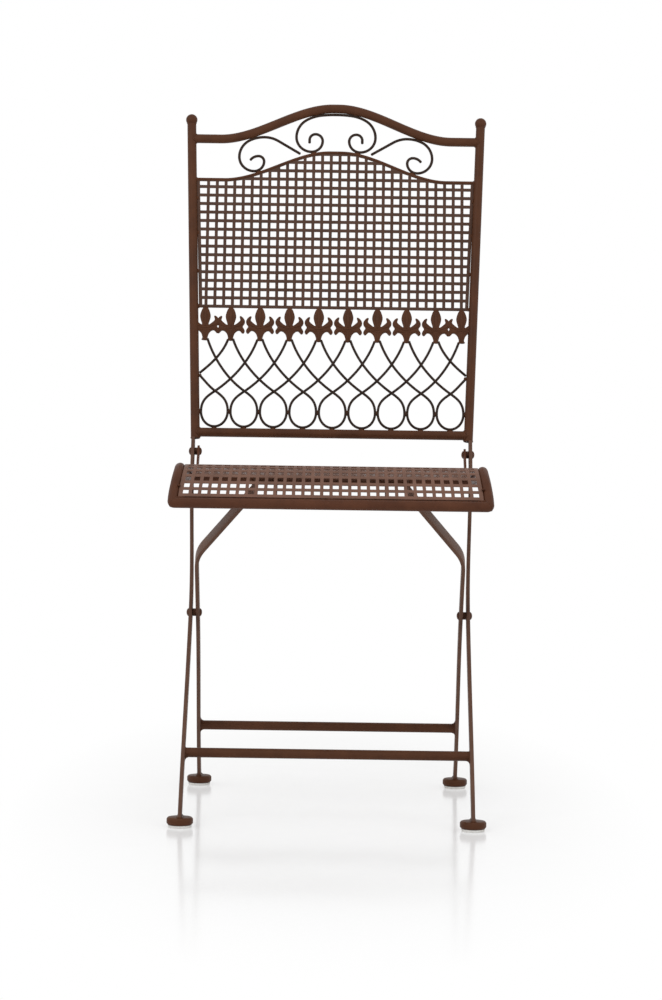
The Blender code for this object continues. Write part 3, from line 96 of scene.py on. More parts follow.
# Edges that bend by more than these degrees stay sharp.
SHARP_BEND = 38.0
SHARP_WELD_BEND = 75.0
SHARP_SHEET_BEND = 30.0

# A cell of a net is an opening only if it is this tall and wide, and has no face if it is flat.
LEAST_OPENING_RISE = 0.0022
LEAST_OPENING_WIDTH = 0.0015
FLAT_CELL = 1e-6

# Width of a net's softened edges, and distance within which points are one.
NET_SOFT_WIDTH = 0.00025
MERGE_DISTANCE = 2e-6


class Body(str, Enum):
    """CAD bodies that pieces ride on."""

    BACK_FRAME = "back_frame"
    REAR_LEGS = "rear_leg_frame"
    SEAT = "seat"


class Slot(str, Enum):
    """Material slots of the record."""

    BROWN = "brown_paint"
    SEAT = "seat_paint"
    WIRE = "wire_paint"
    PAD = "white_plastic"


class NodeGraph:
    """Adds and links the shader nodes of one material or world."""

    def __init__(self, owner: bpy.types.Material | bpy.types.World) -> None:
        """Clear the owner's nodes.

        Args:
            owner: Material or world that the nodes belong to.
        """
        owner.use_nodes = True
        self.tree = owner.node_tree
        self.tree.nodes.clear()

    def add(self, kind: str, inputs: dict[str | int, Input], operation: str = "") -> bpy.types.Node:
        """Add a node, and link or set its inputs.

        Args:
            kind: Kind of the node.
            inputs: Sockets to link, or values to set, by the input's name or number.
            operation: The node's operation, if it has one.

        Returns:
            The node.
        """
        node = self.tree.nodes.new(kind)
        if kind == MIX_NODE:
            node.data_type = "RGBA"
        if operation:
            node.operation = operation
        for name, value in inputs.items():
            if isinstance(value, Socket):
                self.tree.links.new(value, node.inputs[name])
            else:
                node.inputs[name].default_value = value
        return node

    def place(self) -> Socket:
        """Coordinates on the object."""
        return self.add("ShaderNodeTexCoord", {}).outputs["Object"]

    def noise(self, place: Socket, scale: float, detail: float, roughness: float) -> Socket:
        """Noise value over the surface, about 0.2 to 0.8, with so many features per metre."""
        inputs = {"Vector": place, "Scale": scale, "Detail": detail, "Roughness": roughness}
        return self.add("ShaderNodeTexNoise", inputs).outputs["Fac"]

    def remap(self, value: Socket, low: float, high: float, to_low: float = 0.0,
              to_high: float = 1.0) -> Socket:
        """Stretch a value from one range to another and clamp it."""
        inputs = {"Value": value, "From Min": low, "From Max": high, "To Min": to_low, "To Max": to_high}
        return self.add("ShaderNodeMapRange", inputs).outputs["Result"]

    def mix(self, share: Socket, first: Socket | Triple, second: Socket | Triple) -> Socket:
        """Blend two colours by the second one's share."""
        first, second = (item if isinstance(item, Socket) else (*item, 1.0) for item in (first, second))
        return self.add(MIX_NODE, {"Factor": share, MIX_A: first, MIX_B: second}).outputs[MIX_RESULT]

    def math(self, operation: str, first: Socket, second: Socket) -> Socket:
        """Combine two values by a named operation."""
        return self.add("ShaderNodeMath", {0: first, 1: second}, operation).outputs["Value"]

    def surface(self, colour: Socket, roughness: Socket, specular: float) -> Socket:
        """Add the surface shader. A specular level of 0.5 is a common dielectric's."""
        inputs = {"Base Color": colour, "Roughness": roughness, "Specular IOR Level": specular}
        return self.add("ShaderNodeBsdfPrincipled", inputs).outputs["BSDF"]

    def bump(self, shader: Socket, height: Socket, distance: float, strength: float) -> None:
        """Roughen a shader's normal by a height, whose 1 stands for a distance in metres."""
        bump = self.add("ShaderNodeBump", {"Strength": strength, "Distance": distance, "Height": height})
        self.tree.links.new(bump.outputs["Normal"], shader.node.inputs["Normal"])

    def white_light(self, kind: str, strength: float) -> Socket:
        """Add a white background or emission."""
        return self.add(kind, {"Color": WHITE, "Strength": strength}).outputs[0]

    def seen_rays(self) -> Socket:
        """Value that is 1 for the rays that show a backdrop: camera, glossy and transmission rays.

        Returns:
            The value's socket.
        """
        rays = self.add("ShaderNodeLightPath", {})
        value = rays.outputs["Is Camera Ray"]
        for name in ("Is Glossy Ray", "Is Transmission Ray"):
            value = self.math("MAXIMUM", value, rays.outputs[name])
        return value

    def blend(self, share: Socket, plain: Socket, seen: Socket) -> Socket:
        """Blend two shaders by the second one's share."""
        return self.add("ShaderNodeMixShader", {"Fac": share, 1: plain, 2: seen}).outputs["Shader"]


@dataclass(frozen=True)
class Finish:
    """Surface finish, made a material once: patches of colour and gloss, and a grain."""

    name: str
    base: Triple
    stain: Triple
    gloss_roughness: float = 0.49
    dull_roughness: float = 0.65
    specular: float = 0.5
    grain_size: float = 0.0009
    grain_detail: float = 1.0
    grain_roughness: float = 0.4
    grain_height: float = 0.00006
    grain_strength: float = 0.3

    def material(self) -> bpy.types.Material:
        """Material of the finish, built when it is first asked for.

        Returns:
            The material.
        """
        known = bpy.data.materials.get(self.name)
        if known is not None:
            return known
        made = bpy.data.materials.new(self.name)
        graph = NodeGraph(made)
        place = graph.place()
        colour, patches = self.patchy(graph, place)
        rough = graph.remap(patches, 0.3, 0.7, self.gloss_roughness, self.dull_roughness)
        shader = graph.surface(colour, rough, self.specular)
        grain = graph.noise(place, 1.0 / self.grain_size, self.grain_detail, self.grain_roughness)
        graph.bump(shader, grain, self.grain_height, self.grain_strength)
        graph.add(MATERIAL_OUTPUT, {"Surface": shader})
        return made

    def patchy(self, graph: NodeGraph, place: Socket) -> tuple[Socket, Socket]:
        """Colour, and the noise that varies the gloss."""
        raise NotImplementedError


@dataclass(frozen=True)
class PaintFinish(Finish):
    """Satin brown paint over iron: mottled, darker in wide clouds, and rubbed in small spots."""

    rubbed: Triple = (0.0, 0.0, 0.0)
    rubbed_share: float = 0.16
    cloud_share: float = 0.35
    mottle_size: float = 0.030
    cloud_size: float = 0.120
    rub_size: float = 0.009375
    gloss_roughness: float = 0.40
    dull_roughness: float = 0.58
    specular: float = 0.13
    grain_size: float = 0.0016
    grain_detail: float = 2.0
    grain_roughness: float = 0.5
    grain_height: float = 0.00012
    grain_strength: float = 0.35

    def patchy(self, graph: NodeGraph, place: Socket) -> tuple[Socket, Socket]:
        """Base and stain blended by a mottle, stained by a cloud, with rubbed spots over them.

        Args:
            graph: Graph of the material.
            place: Coordinates.

        Returns:
            The colour, and the mottle.
        """
        mottle = graph.noise(place, 1.0 / self.mottle_size, detail=5.0, roughness=0.6)
        cloud = graph.noise(place, 1.0 / self.cloud_size, detail=3.0, roughness=0.5)
        rub = graph.noise(place, 1.0 / self.rub_size, detail=8.0, roughness=0.72)
        paint = graph.mix(graph.remap(mottle, low=0.32, high=0.68), self.stain, self.base)
        clouds = graph.remap(cloud, low=0.35, high=0.75, to_high=self.cloud_share)
        spots = graph.remap(rub, low=0.60, high=0.72, to_high=self.rubbed_share)
        return graph.mix(spots, graph.mix(clouds, paint, self.stain), self.rubbed), mottle


@dataclass(frozen=True)
class PlasticFinish(Finish):
    """Matt moulded plastic with a fine grain and a little grime."""

    grime_share: float = 0.5
    cloud_scale: float = 120.0

    def patchy(self, graph: NodeGraph, place: Socket) -> tuple[Socket, Socket]:
        """Base colour with stains in a cloud.

        Args:
            graph: Graph of the material.
            place: Coordinates.

        Returns:
            The colour, and the cloud.
        """
        cloud = graph.noise(place, self.cloud_scale, detail=6.0, roughness=0.65)
        stains = graph.remap(cloud, low=0.50, high=0.78, to_high=self.grime_share)
        return graph.mix(stains, self.base, self.stain), cloud


FRAME_PAINT = PaintFinish(
    "frame_paint", (0.098, 0.037, 0.0165), (0.066, 0.024, 0.0105), rubbed=(0.190, 0.085, 0.055))
LEG_PAINT = PaintFinish(
    "leg_paint", (0.140, 0.074, 0.0490), (0.094, 0.047, 0.0310), rubbed=(0.240, 0.140, 0.100))
SEAT_PAINT = PaintFinish(
    "seat_tube_paint", (0.102, 0.037, 0.0175), (0.068, 0.023, 0.0105), rubbed=(0.220, 0.105, 0.068))
SEAT_NET_PAINT = PaintFinish(
    "seat_net_paint", (0.200, 0.105, 0.075), (0.136, 0.071, 0.050), rubbed=(0.320, 0.195, 0.150))
BACK_NET_PAINT = PaintFinish(
    "back_net_paint", (0.098, 0.052, 0.036), (0.066, 0.034, 0.023), rubbed=(0.200, 0.115, 0.085))
# The wires' paint is a darker copy of the brown paint: its darkness is painted shade on the thin scroll and
# lattice wires.
WIRE_SHADED_PAINT = PaintFinish(
    "wire_rod_paint", (0.036, 0.019, 0.0120), (0.022, 0.012, 0.0080), rubbed=(0.095, 0.050, 0.032))
PAD_PLASTIC = PlasticFinish(
    "foot_pad_plastic", (0.78, 0.77, 0.74), (0.46, 0.42, 0.37))


def smoothstep(value: Number) -> Number:
    """Ease from 0 to 1 with level ends: three times the square less twice the cube."""
    share = np.clip(value, 0.0, 1.0)
    return share * share * (3.0 - 2.0 * share)


def eased(first: float, last: float, value: Number, low: float, high: float) -> Number:
    """Ease from a first number to a last one while a value goes from low to high."""
    return first + (last - first) * smoothstep((value - low) / (high - low))


def arch(x: Number, reach: float, foot: float, rise: float, shares: Pair) -> Number:
    """Height of an arch that is level over one share of its reach and eases down over another."""
    return foot + rise * (1.0 - smoothstep((np.abs(x) / reach - shares[0]) / shares[1]))


@dataclass(frozen=True)
class ChairSizes:
    """Driving sizes of the chair, which follow the CAD source.

    The waist is the scene's own: the photographed side rails lean inwards over the seat's front
    curve, by the waist on each side.
    """

    gap: float = 0.0003
    tube: float = 0.0065
    seat_tube: float = 0.0070
    bar_half_width: float = 0.010
    bar_half_thickness: float = 0.0025
    rod: float = 0.004
    edge_rod: float = 0.002
    scroll_rod: float = 0.0020
    lattice_rod: float = 0.00185
    foot_span: float = 0.417
    cross_y: float = 0.203
    cross_z: float = 0.2655
    seat_pivot_z: float = 0.4806
    recline: float = math.radians(12.0)
    back_bend: float = 0.045
    rod_z: float = 0.45323
    foot_top: float = 0.0133
    front_foot_x: float = 0.1928
    front_cross_x: float = 0.1906
    back_bar_x: float = 0.198
    rear_foot_x: float = 0.1839
    rear_cross_x: float = 0.1808
    rear_top_x: float = 0.100
    rear_bend: float = math.radians(33.0)
    rear_bend_radius: float = 0.060
    rear_top_radius: float = 0.012
    rear_end_radius: float = 0.008
    rear_flange: float = 0.007
    front_stretcher_z: float = 0.0904
    rear_stretcher_z: float = 0.0935
    ear_gap: float = 0.0042
    ear_thickness: float = 0.003
    hook_x: float = 0.073
    seat_rail_x: float = 0.2075
    seat_front_y: float = -0.012
    seat_front_z: float = 0.4269
    seat_front_slope: float = math.radians(44.0)
    seat_rear_slope: float = math.radians(5.3)
    seat_front_run: float = 0.036
    seat_arc: float = 0.063
    seat_net_rise: float = 0.003
    seat_waist: float = 0.0060
    seat_waist_run: float = 0.075
    seat_length: float = 0.35171
    post_foot_x: float = 0.1951
    post_splay: float = math.radians(1.9)
    finial_height: float = 0.4707
    finial_radius: float = 0.00835
    crest_end: float = 0.4425
    crest_rise: float = 0.0477
    crest_shares: Pair = (0.02, 0.78)
    lower_rail: float = 0.0083
    net_foot: float = 0.1929
    edge_end: float = 0.3818
    edge_rise: float = 0.0423
    edge_shares: Pair = (0.04, 0.76)
    fleur_base: float = 0.1443
    end_fleur_x: float = 0.1844
    loops: int = 9
    loop_widest_rise: float = 0.0218
    loop_cross_rise: float = 0.0518

    @property
    def front_lean(self) -> float:
        """Angle of the front legs from upright."""
        return math.atan2(self.cross_y, self.cross_z - self.foot_top)

    @property
    def rear_lean(self) -> float:
        """Angle of the rear legs from upright."""
        return math.atan2(self.foot_span - self.cross_y, self.cross_z - self.foot_top)

    @property
    def seat_pivot_y(self) -> float:
        """Distance of the seat's hinge behind the front feet."""
        return self.cross_y + math.tan(self.front_lean) * (self.seat_pivot_z - self.cross_z)

    @property
    def rod_y(self) -> float:
        """Distance of the seat support rod behind the front feet."""
        return self.cross_y - math.tan(self.rear_lean) * (self.rod_z - self.cross_z)

    @property
    def seat_arc_length(self) -> float:
        """Length of the side rails' bent part."""
        return self.seat_arc * (self.seat_front_slope + self.seat_rear_slope)

    @property
    def seat_arc_end(self) -> float:
        """Distance along the side rails at which their bend ends."""
        return self.seat_front_run + self.seat_arc_length

    def leg_x(self, foot_x: float, cross_x: float, z: Number) -> Number:
        """Half distance between two leg bars, eased from their feet to their crossing."""
        return eased(foot_x, cross_x, z, self.foot_top, self.cross_z)


@dataclass
class Chair:
    """Curves of the chair, worked out from its sizes, in the shared frame."""

    sizes: ChairSizes
    centre_y: float

    def point(self, x: Number, y: Number, z: Number) -> Array:
        """Points from distances measured from below the front feet."""
        x, y, z = np.broadcast_arrays(x, y, z)
        return np.stack([x, y - self.centre_y, z], axis=-1).astype(float)

    def back(self, x: Number, height: Number, out: Number = 0.0) -> Array:
        """Points of the back, which leans by the recline from where the leg bars' bend ends.

        Args:
            x: Distance across.
            height: Distance up along the back.
            out: Distance out of its plane towards the front.

        Returns:
            The points.
        """
        size = self.sizes
        lean = size.recline
        foot_y = size.seat_pivot_y + size.back_bend * (math.cos(lean) - math.cos(size.front_lean))
        foot_z = size.seat_pivot_z + size.back_bend * (math.sin(size.front_lean) - math.sin(lean))
        x, height, out = np.broadcast_arrays(x, height, out)
        y = foot_y + height * math.sin(lean) - out * math.cos(lean)
        z = foot_z + height * math.cos(lean) + out * math.sin(lean)
        return self.point(x, y, z)

    @property
    def out(self) -> Array:
        """Direction out of the back's plane, towards the front."""
        return np.array([0.0, -math.cos(self.sizes.recline), math.sin(self.sizes.recline)])

    @property
    def up(self) -> Array:
        """Direction up along the back."""
        return np.array([0.0, math.sin(self.sizes.recline), math.cos(self.sizes.recline)])

    def post_x(self, height: Number) -> Number:
        """Half distance between the posts' axes."""
        return self.sizes.post_foot_x + math.tan(self.sizes.post_splay) * height

    def post_face_x(self, height: Number) -> Number:
        """Half distance between the posts' inner faces."""
        return self.post_x(height) - self.sizes.tube / math.cos(self.sizes.post_splay)

    def crest(self, x: Number) -> Number:
        """Height of the crest rail's axis."""
        size = self.sizes
        return arch(x, self.post_x(size.crest_end), size.crest_end, size.crest_rise, size.crest_shares)

    def edge(self, x: Number) -> Number:
        """Height of the rod along the back net's top."""
        size = self.sizes
        return arch(x, self.post_face_x(size.edge_end), size.edge_end, size.edge_rise, size.edge_shares)

    def lower(self, x: Number) -> Number:
        """Height of the lower rail's axis."""
        return np.full_like(x, self.sizes.lower_rail)

    def seat(self, x: Number, run: Number, rise: Number = 0.0) -> Array:
        """Points of the seat: a straight front, an arc that turns level, and a straight rear.

        The seat grows narrower over its front curve, by the waist on each side.

        Args:
            x: Distance across.
            run: Distance along the side rails.
            rise: Distance square out of their line.

        Returns:
            The points.
        """
        size = self.sizes
        narrowing = size.seat_waist / size.seat_rail_x * smoothstep(np.asarray(run) / size.seat_waist_run)
        front = size.seat_front_slope
        bent = np.asarray(run, dtype=float) - size.seat_front_run
        slope = front - np.clip(bent, 0.0, size.seat_arc_length) / size.seat_arc
        start_y = size.seat_front_y + size.seat_front_run * math.cos(front)
        start_z = size.seat_front_z + size.seat_front_run * math.sin(front)
        y = start_y + size.seat_arc * (math.sin(front) - np.sin(slope))
        z = start_z + size.seat_arc * (np.cos(slope) - math.cos(front))
        beyond = np.maximum(bent - size.seat_arc_length, 0.0) + np.minimum(bent, 0.0)
        y = y + beyond * np.cos(slope) - rise * np.sin(slope)
        z = z + beyond * np.sin(slope) + rise * np.cos(slope)
        return self.point(x * (1.0 - narrowing), y, z)

    @property
    def loop_pitch(self) -> float:
        """Distance between the loops."""
        return 2 * self.post_face_x(self.loop_foot + self.sizes.loop_widest_rise) / self.sizes.loops

    @property
    def loop_foot(self) -> float:
        """Height of the loops' lowest axis point."""
        return self.sizes.lower_rail + self.sizes.tube + self.sizes.gap + self.sizes.lattice_rod

    @property
    def loop_crossing(self) -> float:
        """Height at which a loop's two ends cross."""
        return self.loop_foot + self.sizes.loop_cross_rise

    @property
    def loop_widest(self) -> float:
        """Height at which the loops are widest and touch."""
        return self.loop_foot + self.sizes.loop_widest_rise

    @property
    def fleur_places(self) -> Array:
        """Distances of the ornaments from the middle, one more than there are loops.

        Returns:
            The distances, from left to right.
        """
        places = (np.arange(self.sizes.loops + 1) - self.sizes.loops / 2) * self.loop_pitch
        places[[0, -1]] = (-self.sizes.end_fleur_x, self.sizes.end_fleur_x)
        return places


@dataclass
class Shape:
    """Vertices and faces of a surface."""

    vertices: Array
    faces: list[Face]

    @staticmethod
    def cells(index: Array) -> Array:
        """Corners of a grid's cells, in order round each cell, from its vertex numbers."""
        return np.stack([index[:-1, :-1], index[:-1, 1:], index[1:, 1:], index[1:, :-1]], axis=-1)

    @staticmethod
    def skin(points: Array, capped: bool = True) -> "Shape":
        """Skin over closed rings of points, with quads between the rings.

        Args:
            points: Rings along the first axis, points round them along the second.
            capped: Whether the first and last ring are filled.

        Returns:
            The skin.
        """
        rings, around, _ = points.shape
        index = np.arange(rings * around).reshape(rings, around)
        quads = Shape.cells(np.concatenate([index, index[:, :1]], axis=1))
        faces = [tuple(quad) for quad in quads.reshape(-1, 4).tolist()]
        if capped:
            faces.append(tuple(range(around - 1, -1, -1)))
            faces.append(tuple(range((rings - 1) * around, rings * around)))
        return Shape(points.reshape(-1, 3), faces)

    @staticmethod
    def sheet(points: Array, kept: Array) -> "Shape":
        """Open sheet over a grid of points, with the cells that are kept."""
        index = np.arange(points[..., 0].size).reshape(points.shape[:2])
        return Shape(points.reshape(-1, 3), [tuple(quad) for quad in Shape.cells(index)[kept].tolist()])

    @staticmethod
    def joined(shapes: list["Shape"]) -> "Shape":
        """Put shapes together in one mesh, with their faces renumbered."""
        starts = np.cumsum([0] + [len(shape.vertices) for shape in shapes]).tolist()
        return Shape(np.vstack([shape.vertices for shape in shapes]),
                     [tuple(index + start for index in face)
                      for shape, start in zip(shapes, starts) for face in shape.faces])


def unit(vector: Array) -> Array:
    """Vector of length 1."""
    vector = np.asarray(vector, dtype=float)
    return vector / np.linalg.norm(vector)


def units(vectors: Array) -> Array:
    """Rows of length 1."""
    return vectors / np.linalg.norm(vectors, axis=1, keepdims=True)


def directions(path: Array, closed: bool = False) -> Array:
    """Unit directions along a path, from each point's neighbours."""
    around = np.roll(path, -1, axis=0) - np.roll(path, 1, axis=0)
    return units(around if closed else np.gradient(path, axis=0))


def round_turns(count: int) -> Array:
    """Angles of evenly spaced points round a ring."""
    return np.linspace(0.0, FULL_TURN, count, endpoint=False)


def circle(count: int, first: Array, second: Array) -> Array:
    """Points round a circle of radius 1: cosine along the first direction, sine along the second."""
    turn = round_turns(count)
    return np.cos(turn)[:, None] * first + np.sin(turn)[:, None] * second


def square_pair(axis: Array, reference: Array) -> tuple[Array, Array]:
    """Two directions square to an axis and to each other, the first also square to a reference."""
    first = unit(np.cross(axis, reference))
    return first, np.cross(axis, first)


def both_edges(centres: Array, widths: Number) -> Array:
    """Both edges of every strip, in order."""
    return np.stack([centres - widths / 2, centres + widths / 2], axis=1).ravel()


def tube(path: Array, radius: Number, reference: Array, sides: int = 20, rounding: float = 0.0,
         closed: bool = False) -> Shape:
    """Sweep a circle along a path: each ring is the path's point plus the radius round its direction.

    Args:
        path: Points of the axis.
        radius: Radius, or one for each point.
        reference: A direction that the path is never along; it fixes where each ring starts.
        sides: Points round a ring.
        rounding: Length of the rounded ends, as a share of the radius.
        closed: Whether the path is a closed ring.

    Returns:
        The closed skin of the tube.
    """
    path = np.asarray(path, dtype=float)
    radius = np.broadcast_to(np.asarray(radius, dtype=float), (len(path),))
    if rounding > 0.0:
        along = directions(path)
        turns = np.linspace(math.radians(80.0), math.radians(12.0), 4)[:, None]
        start = path[0] - along[0] * radius[0] * rounding * np.sin(turns)
        finish = path[-1] + along[-1] * radius[-1] * rounding * np.sin(turns[::-1])
        ends = np.cos(turns[:, 0])
        radius = np.concatenate([radius[0] * ends, radius, radius[-1] * ends[::-1]])
        path = np.vstack([start, path, finish])
    along = directions(path, closed)
    first = units(reference - along * (along @ reference)[:, None])
    second = np.cross(along, first)
    turn = round_turns(sides)
    ring = first[:, None] * np.cos(turn)[None, :, None] + second[:, None] * np.sin(turn)[None, :, None]
    points = path[:, None] + ring * radius[:, None, None]
    if closed:
        points = np.concatenate([points, points[:1]])
    return Shape.skin(points, capped=not closed)


def turned(profile: Array, foot: Array, axis: Array, sides: int) -> Shape:
    """Turn a profile about an axis: its height along the axis plus its radius round it.

    Args:
        profile: Rows of radius and height.
        foot: Start of the axis.
        axis: Direction of the axis.
        sides: Points round a ring.

    Returns:
        The closed skin.
    """
    axis = unit(axis)
    ring = circle(sides, *square_pair(axis, BACKWARD if abs(axis[1]) < 0.9 else ACROSS))
    profile = np.asarray(profile, dtype=float)
    points = foot + profile[:, None, 1:] * axis + profile[:, None, :1] * ring[None]
    return Shape.skin(points)


def rounded_bar(centres: Array, across: Array, half_width: Array, half_thickness: float,
                corner: float = 0.0009, corner_points: int = 4) -> Shape:
    """Flat bar with rounded edges: a rectangle smaller by the corner, plus quarter circles.

    Args:
        centres: Points of the axis.
        across: Width direction at each point.
        half_width: Half width at each point.
        half_thickness: Half thickness.
        corner: Radius of the edges.
        corner_points: Points round each edge.

    Returns:
        The closed skin of the bar.
    """
    along = directions(centres)
    across = units(across)
    through = units(np.cross(along, across))
    quarter = np.repeat(np.arange(4), corner_points)
    angle = np.tile(np.linspace(0.0, QUARTER_TURN, corner_points), 4) + quarter * QUARTER_TURN
    width = (half_width[:, None] - corner) * np.array([1, -1, -1, 1])[quarter] + corner * np.cos(angle)
    depth = (half_thickness - corner) * np.array([1, 1, -1, -1])[quarter] + corner * np.sin(angle)
    points = centres[:, None] + across[:, None] * width[..., None] + through[:, None] * depth[None, :, None]
    return Shape.skin(points)


def hermite(start: Pair, end: Pair, leave: Pair, arrive: Pair, count: int) -> Array:
    """Smooth run between two points: a cubic with a given direction at each end.

    Args:
        start: First point.
        end: Last point.
        leave: Direction and strength at the start.
        arrive: Direction and strength at the end.
        count: Number of points.

    Returns:
        The points.
    """
    share = np.linspace(0.0, 1.0, count)[:, None]
    blend = share * share * (3.0 - 2.0 * share)
    start, end, leave, arrive = (np.asarray(item, dtype=float) for item in (start, end, leave, arrive))
    return (start * (1.0 - blend) + end * blend + leave * share * (1.0 - share) ** 2
            - arrive * share * share * (1.0 - share))


def arcs(start: Pair, heading: float, turns: Array, steps: int = 16) -> tuple[Array, float]:
    """Points along arcs that follow on from each other.

    Args:
        start: First point.
        heading: Angle of the way in which the first arc leaves it.
        turns: Rows of radius and angle, positive to the left.
        steps: Points on each arc.

    Returns:
        The points, and the heading at their end.
    """
    points = [np.array(start, dtype=float)]
    for radius, angle in turns:
        sense = np.sign(angle)
        centre = points[-1] + radius * np.array([-math.sin(heading), math.cos(heading)]) * sense
        sweep = heading - QUARTER_TURN * sense + np.linspace(0.0, angle, steps + 1)[1:]
        points.extend(centre + radius * np.stack([np.cos(sweep), np.sin(sweep)], axis=1))
        heading += angle
    return np.array(points), heading


def largest(low: float, high: float, halvings: int, fits: Callable[[float], bool]) -> float:
    """Largest number that fits, found by halving a span.

    Args:
        low: A number that fits.
        high: A number that doesn't.
        halvings: How often the span is halved.
        fits: Whether a number fits.

    Returns:
        The number.
    """
    for _ in range(halvings):
        middle = (low + high) / 2
        if fits(middle):
            low = middle
        else:
            high = middle
    return low


@dataclass(frozen=True)
class WeldMetal:
    """Weld beads and lumps. Their unevenness comes from random numbers with a given seed."""

    ripple: float = 0.0016
    ripple_share: float = 0.16
    uneven_share: float = 0.10
    thinnest: float = -0.2
    thickest: float = 0.35
    bead_sides: int = 8
    bead_rounding: float = 0.8
    lump_share: float = 0.07
    lump_rings: int = 9
    lump_sides: int = 14

    def bead(self, path: Array, radius: float, reference: Array, seed: int, closed: bool) -> Shape:
        """Thin tube whose radius ripples along it by a sine of the distance, plus noise.

        Args:
            path: Points of the seam.
            radius: Mean radius.
            reference: A direction that the path is never along.
            seed: Seed of the noise.
            closed: Whether the path is a closed ring.

        Returns:
            The skin of the bead.
        """
        random = np.random.default_rng(seed)
        steps = np.linalg.norm(np.diff(path, axis=0), axis=1)
        distance = np.concatenate([[0.0], np.cumsum(steps)])
        waves = self.ripple_share * np.abs(np.sin(math.pi * distance / self.ripple))
        waves = waves + self.uneven_share * random.standard_normal(len(path))
        swollen = radius * (1.0 + np.clip(waves, self.thinnest, self.thickest))
        rounding = 0.0 if closed else self.bead_rounding
        return tube(path, swollen, reference, self.bead_sides, rounding, closed)

    def lump(self, centre: Array, radii: Triple, seed: int, axes: Array | None = None) -> Shape:
        """Ellipsoid whose radius swells by a sine along each axis, with random phases.

        Args:
            centre: Its centre.
            radii: Its half lengths along the three axes.
            seed: Seed of the phases.
            axes: Directions of the three axes, or none for the frame's own.

        Returns:
            The skin of the lump.
        """
        random = np.random.default_rng(seed)
        axes = np.eye(3) if axes is None else axes
        rise = np.linspace(-QUARTER_TURN, QUARTER_TURN, self.lump_rings)
        turn = round_turns(self.lump_sides)
        ball = np.stack([np.cos(rise)[:, None] * np.cos(turn), np.cos(rise)[:, None] * np.sin(turn),
                         np.repeat(np.sin(rise)[:, None], self.lump_sides, axis=1)], axis=-1)
        phases = random.uniform(0.0, FULL_TURN, 3)
        waves = sum(np.sin(3.0 * ball[..., k] * (k + 1.3) + phases[k]) for k in range(3))
        ball = ball * (1.0 + self.lump_share * waves[..., None])
        return Shape.skin(np.asarray(centre) + (ball * np.asarray(radii)) @ axes)


@dataclass
class Workshop:
    """Turns shapes into finished pieces that ride on their bodies, beside the CAD nodes."""

    chair: Chair
    nodes: dict[str, Item]
    count: int = 0

    def piece(self, name: str, shape: Shape, body: Body, slot: Slot, finish: Finish,
              stands_for: tuple[str, ...], sharp: float) -> Item:
        """Make a mesh piece.

        Args:
            name: Name of the piece.
            shape: Its skin.
            body: CAD body that it rides on.
            slot: Material slot of the record; not used.
            finish: Its surface.
            stands_for: CAD nodes that it replaces.
            sharp: Edges that bend more than this many degrees stay sharp.

        Returns:
            The new object.
        """
        mesh = bpy.data.meshes.new(name)
        mesh.from_pydata(shape.vertices.tolist(), [], shape.faces)
        form = bmesh.new()
        form.from_mesh(mesh)
        bmesh.ops.remove_doubles(form, verts=form.verts, dist=MERGE_DISTANCE)
        bmesh.ops.recalc_face_normals(form, faces=form.faces)
        form.to_mesh(mesh)
        form.free()
        mesh.shade_smooth()
        mesh.set_sharp_from_angle(angle=math.radians(sharp))
        mesh.materials.append(finish.material())
        item = bpy.data.objects.new(name, mesh)
        bpy.context.scene.collection.objects.link(item)
        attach(item, body.value)
        if stands_for:
            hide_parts(*stands_for)
        self.count += 1
        log.info("%s: %d faces on %s", name, len(mesh.polygons), body.value)
        return item

    def paint(self, name: str, finish: Finish) -> Item:
        """Give a CAD node a finish in its place.

        Args:
            name: Name of the node.
            finish: Its surface.

        Returns:
            The node's object.
        """
        item = self.nodes[name]
        item.data.materials.clear()
        item.data.materials.append(finish.material())
        self.count += 1
        log.info("%s: the CAD's own mesh, painted", name)
        return item

    @staticmethod
    def thicken(item: Item, thickness: float, even: bool) -> None:
        """Give a sheet its thickness, half on each side.

        Args:
            item: The sheet.
            thickness: Its thickness.
            even: Whether it keeps the thickness round bends.
        """
        shell = item.modifiers.new("thickness", "SOLIDIFY")
        shell.thickness = thickness
        shell.offset = 0.0
        shell.use_even_offset = even

    @staticmethod
    def soften(item: Item, width: float, segments: int) -> None:
        """Soften the edges of a piece that bend by more than 40 degrees.

        Args:
            item: The piece.
            width: Width of the softened edges.
            segments: Steps across them.
        """
        soft = item.modifiers.new("soft_edges", "BEVEL")
        soft.width = width
        soft.segments = segments
        soft.limit_method = "ANGLE"
        soft.angle_limit = math.radians(40.0)


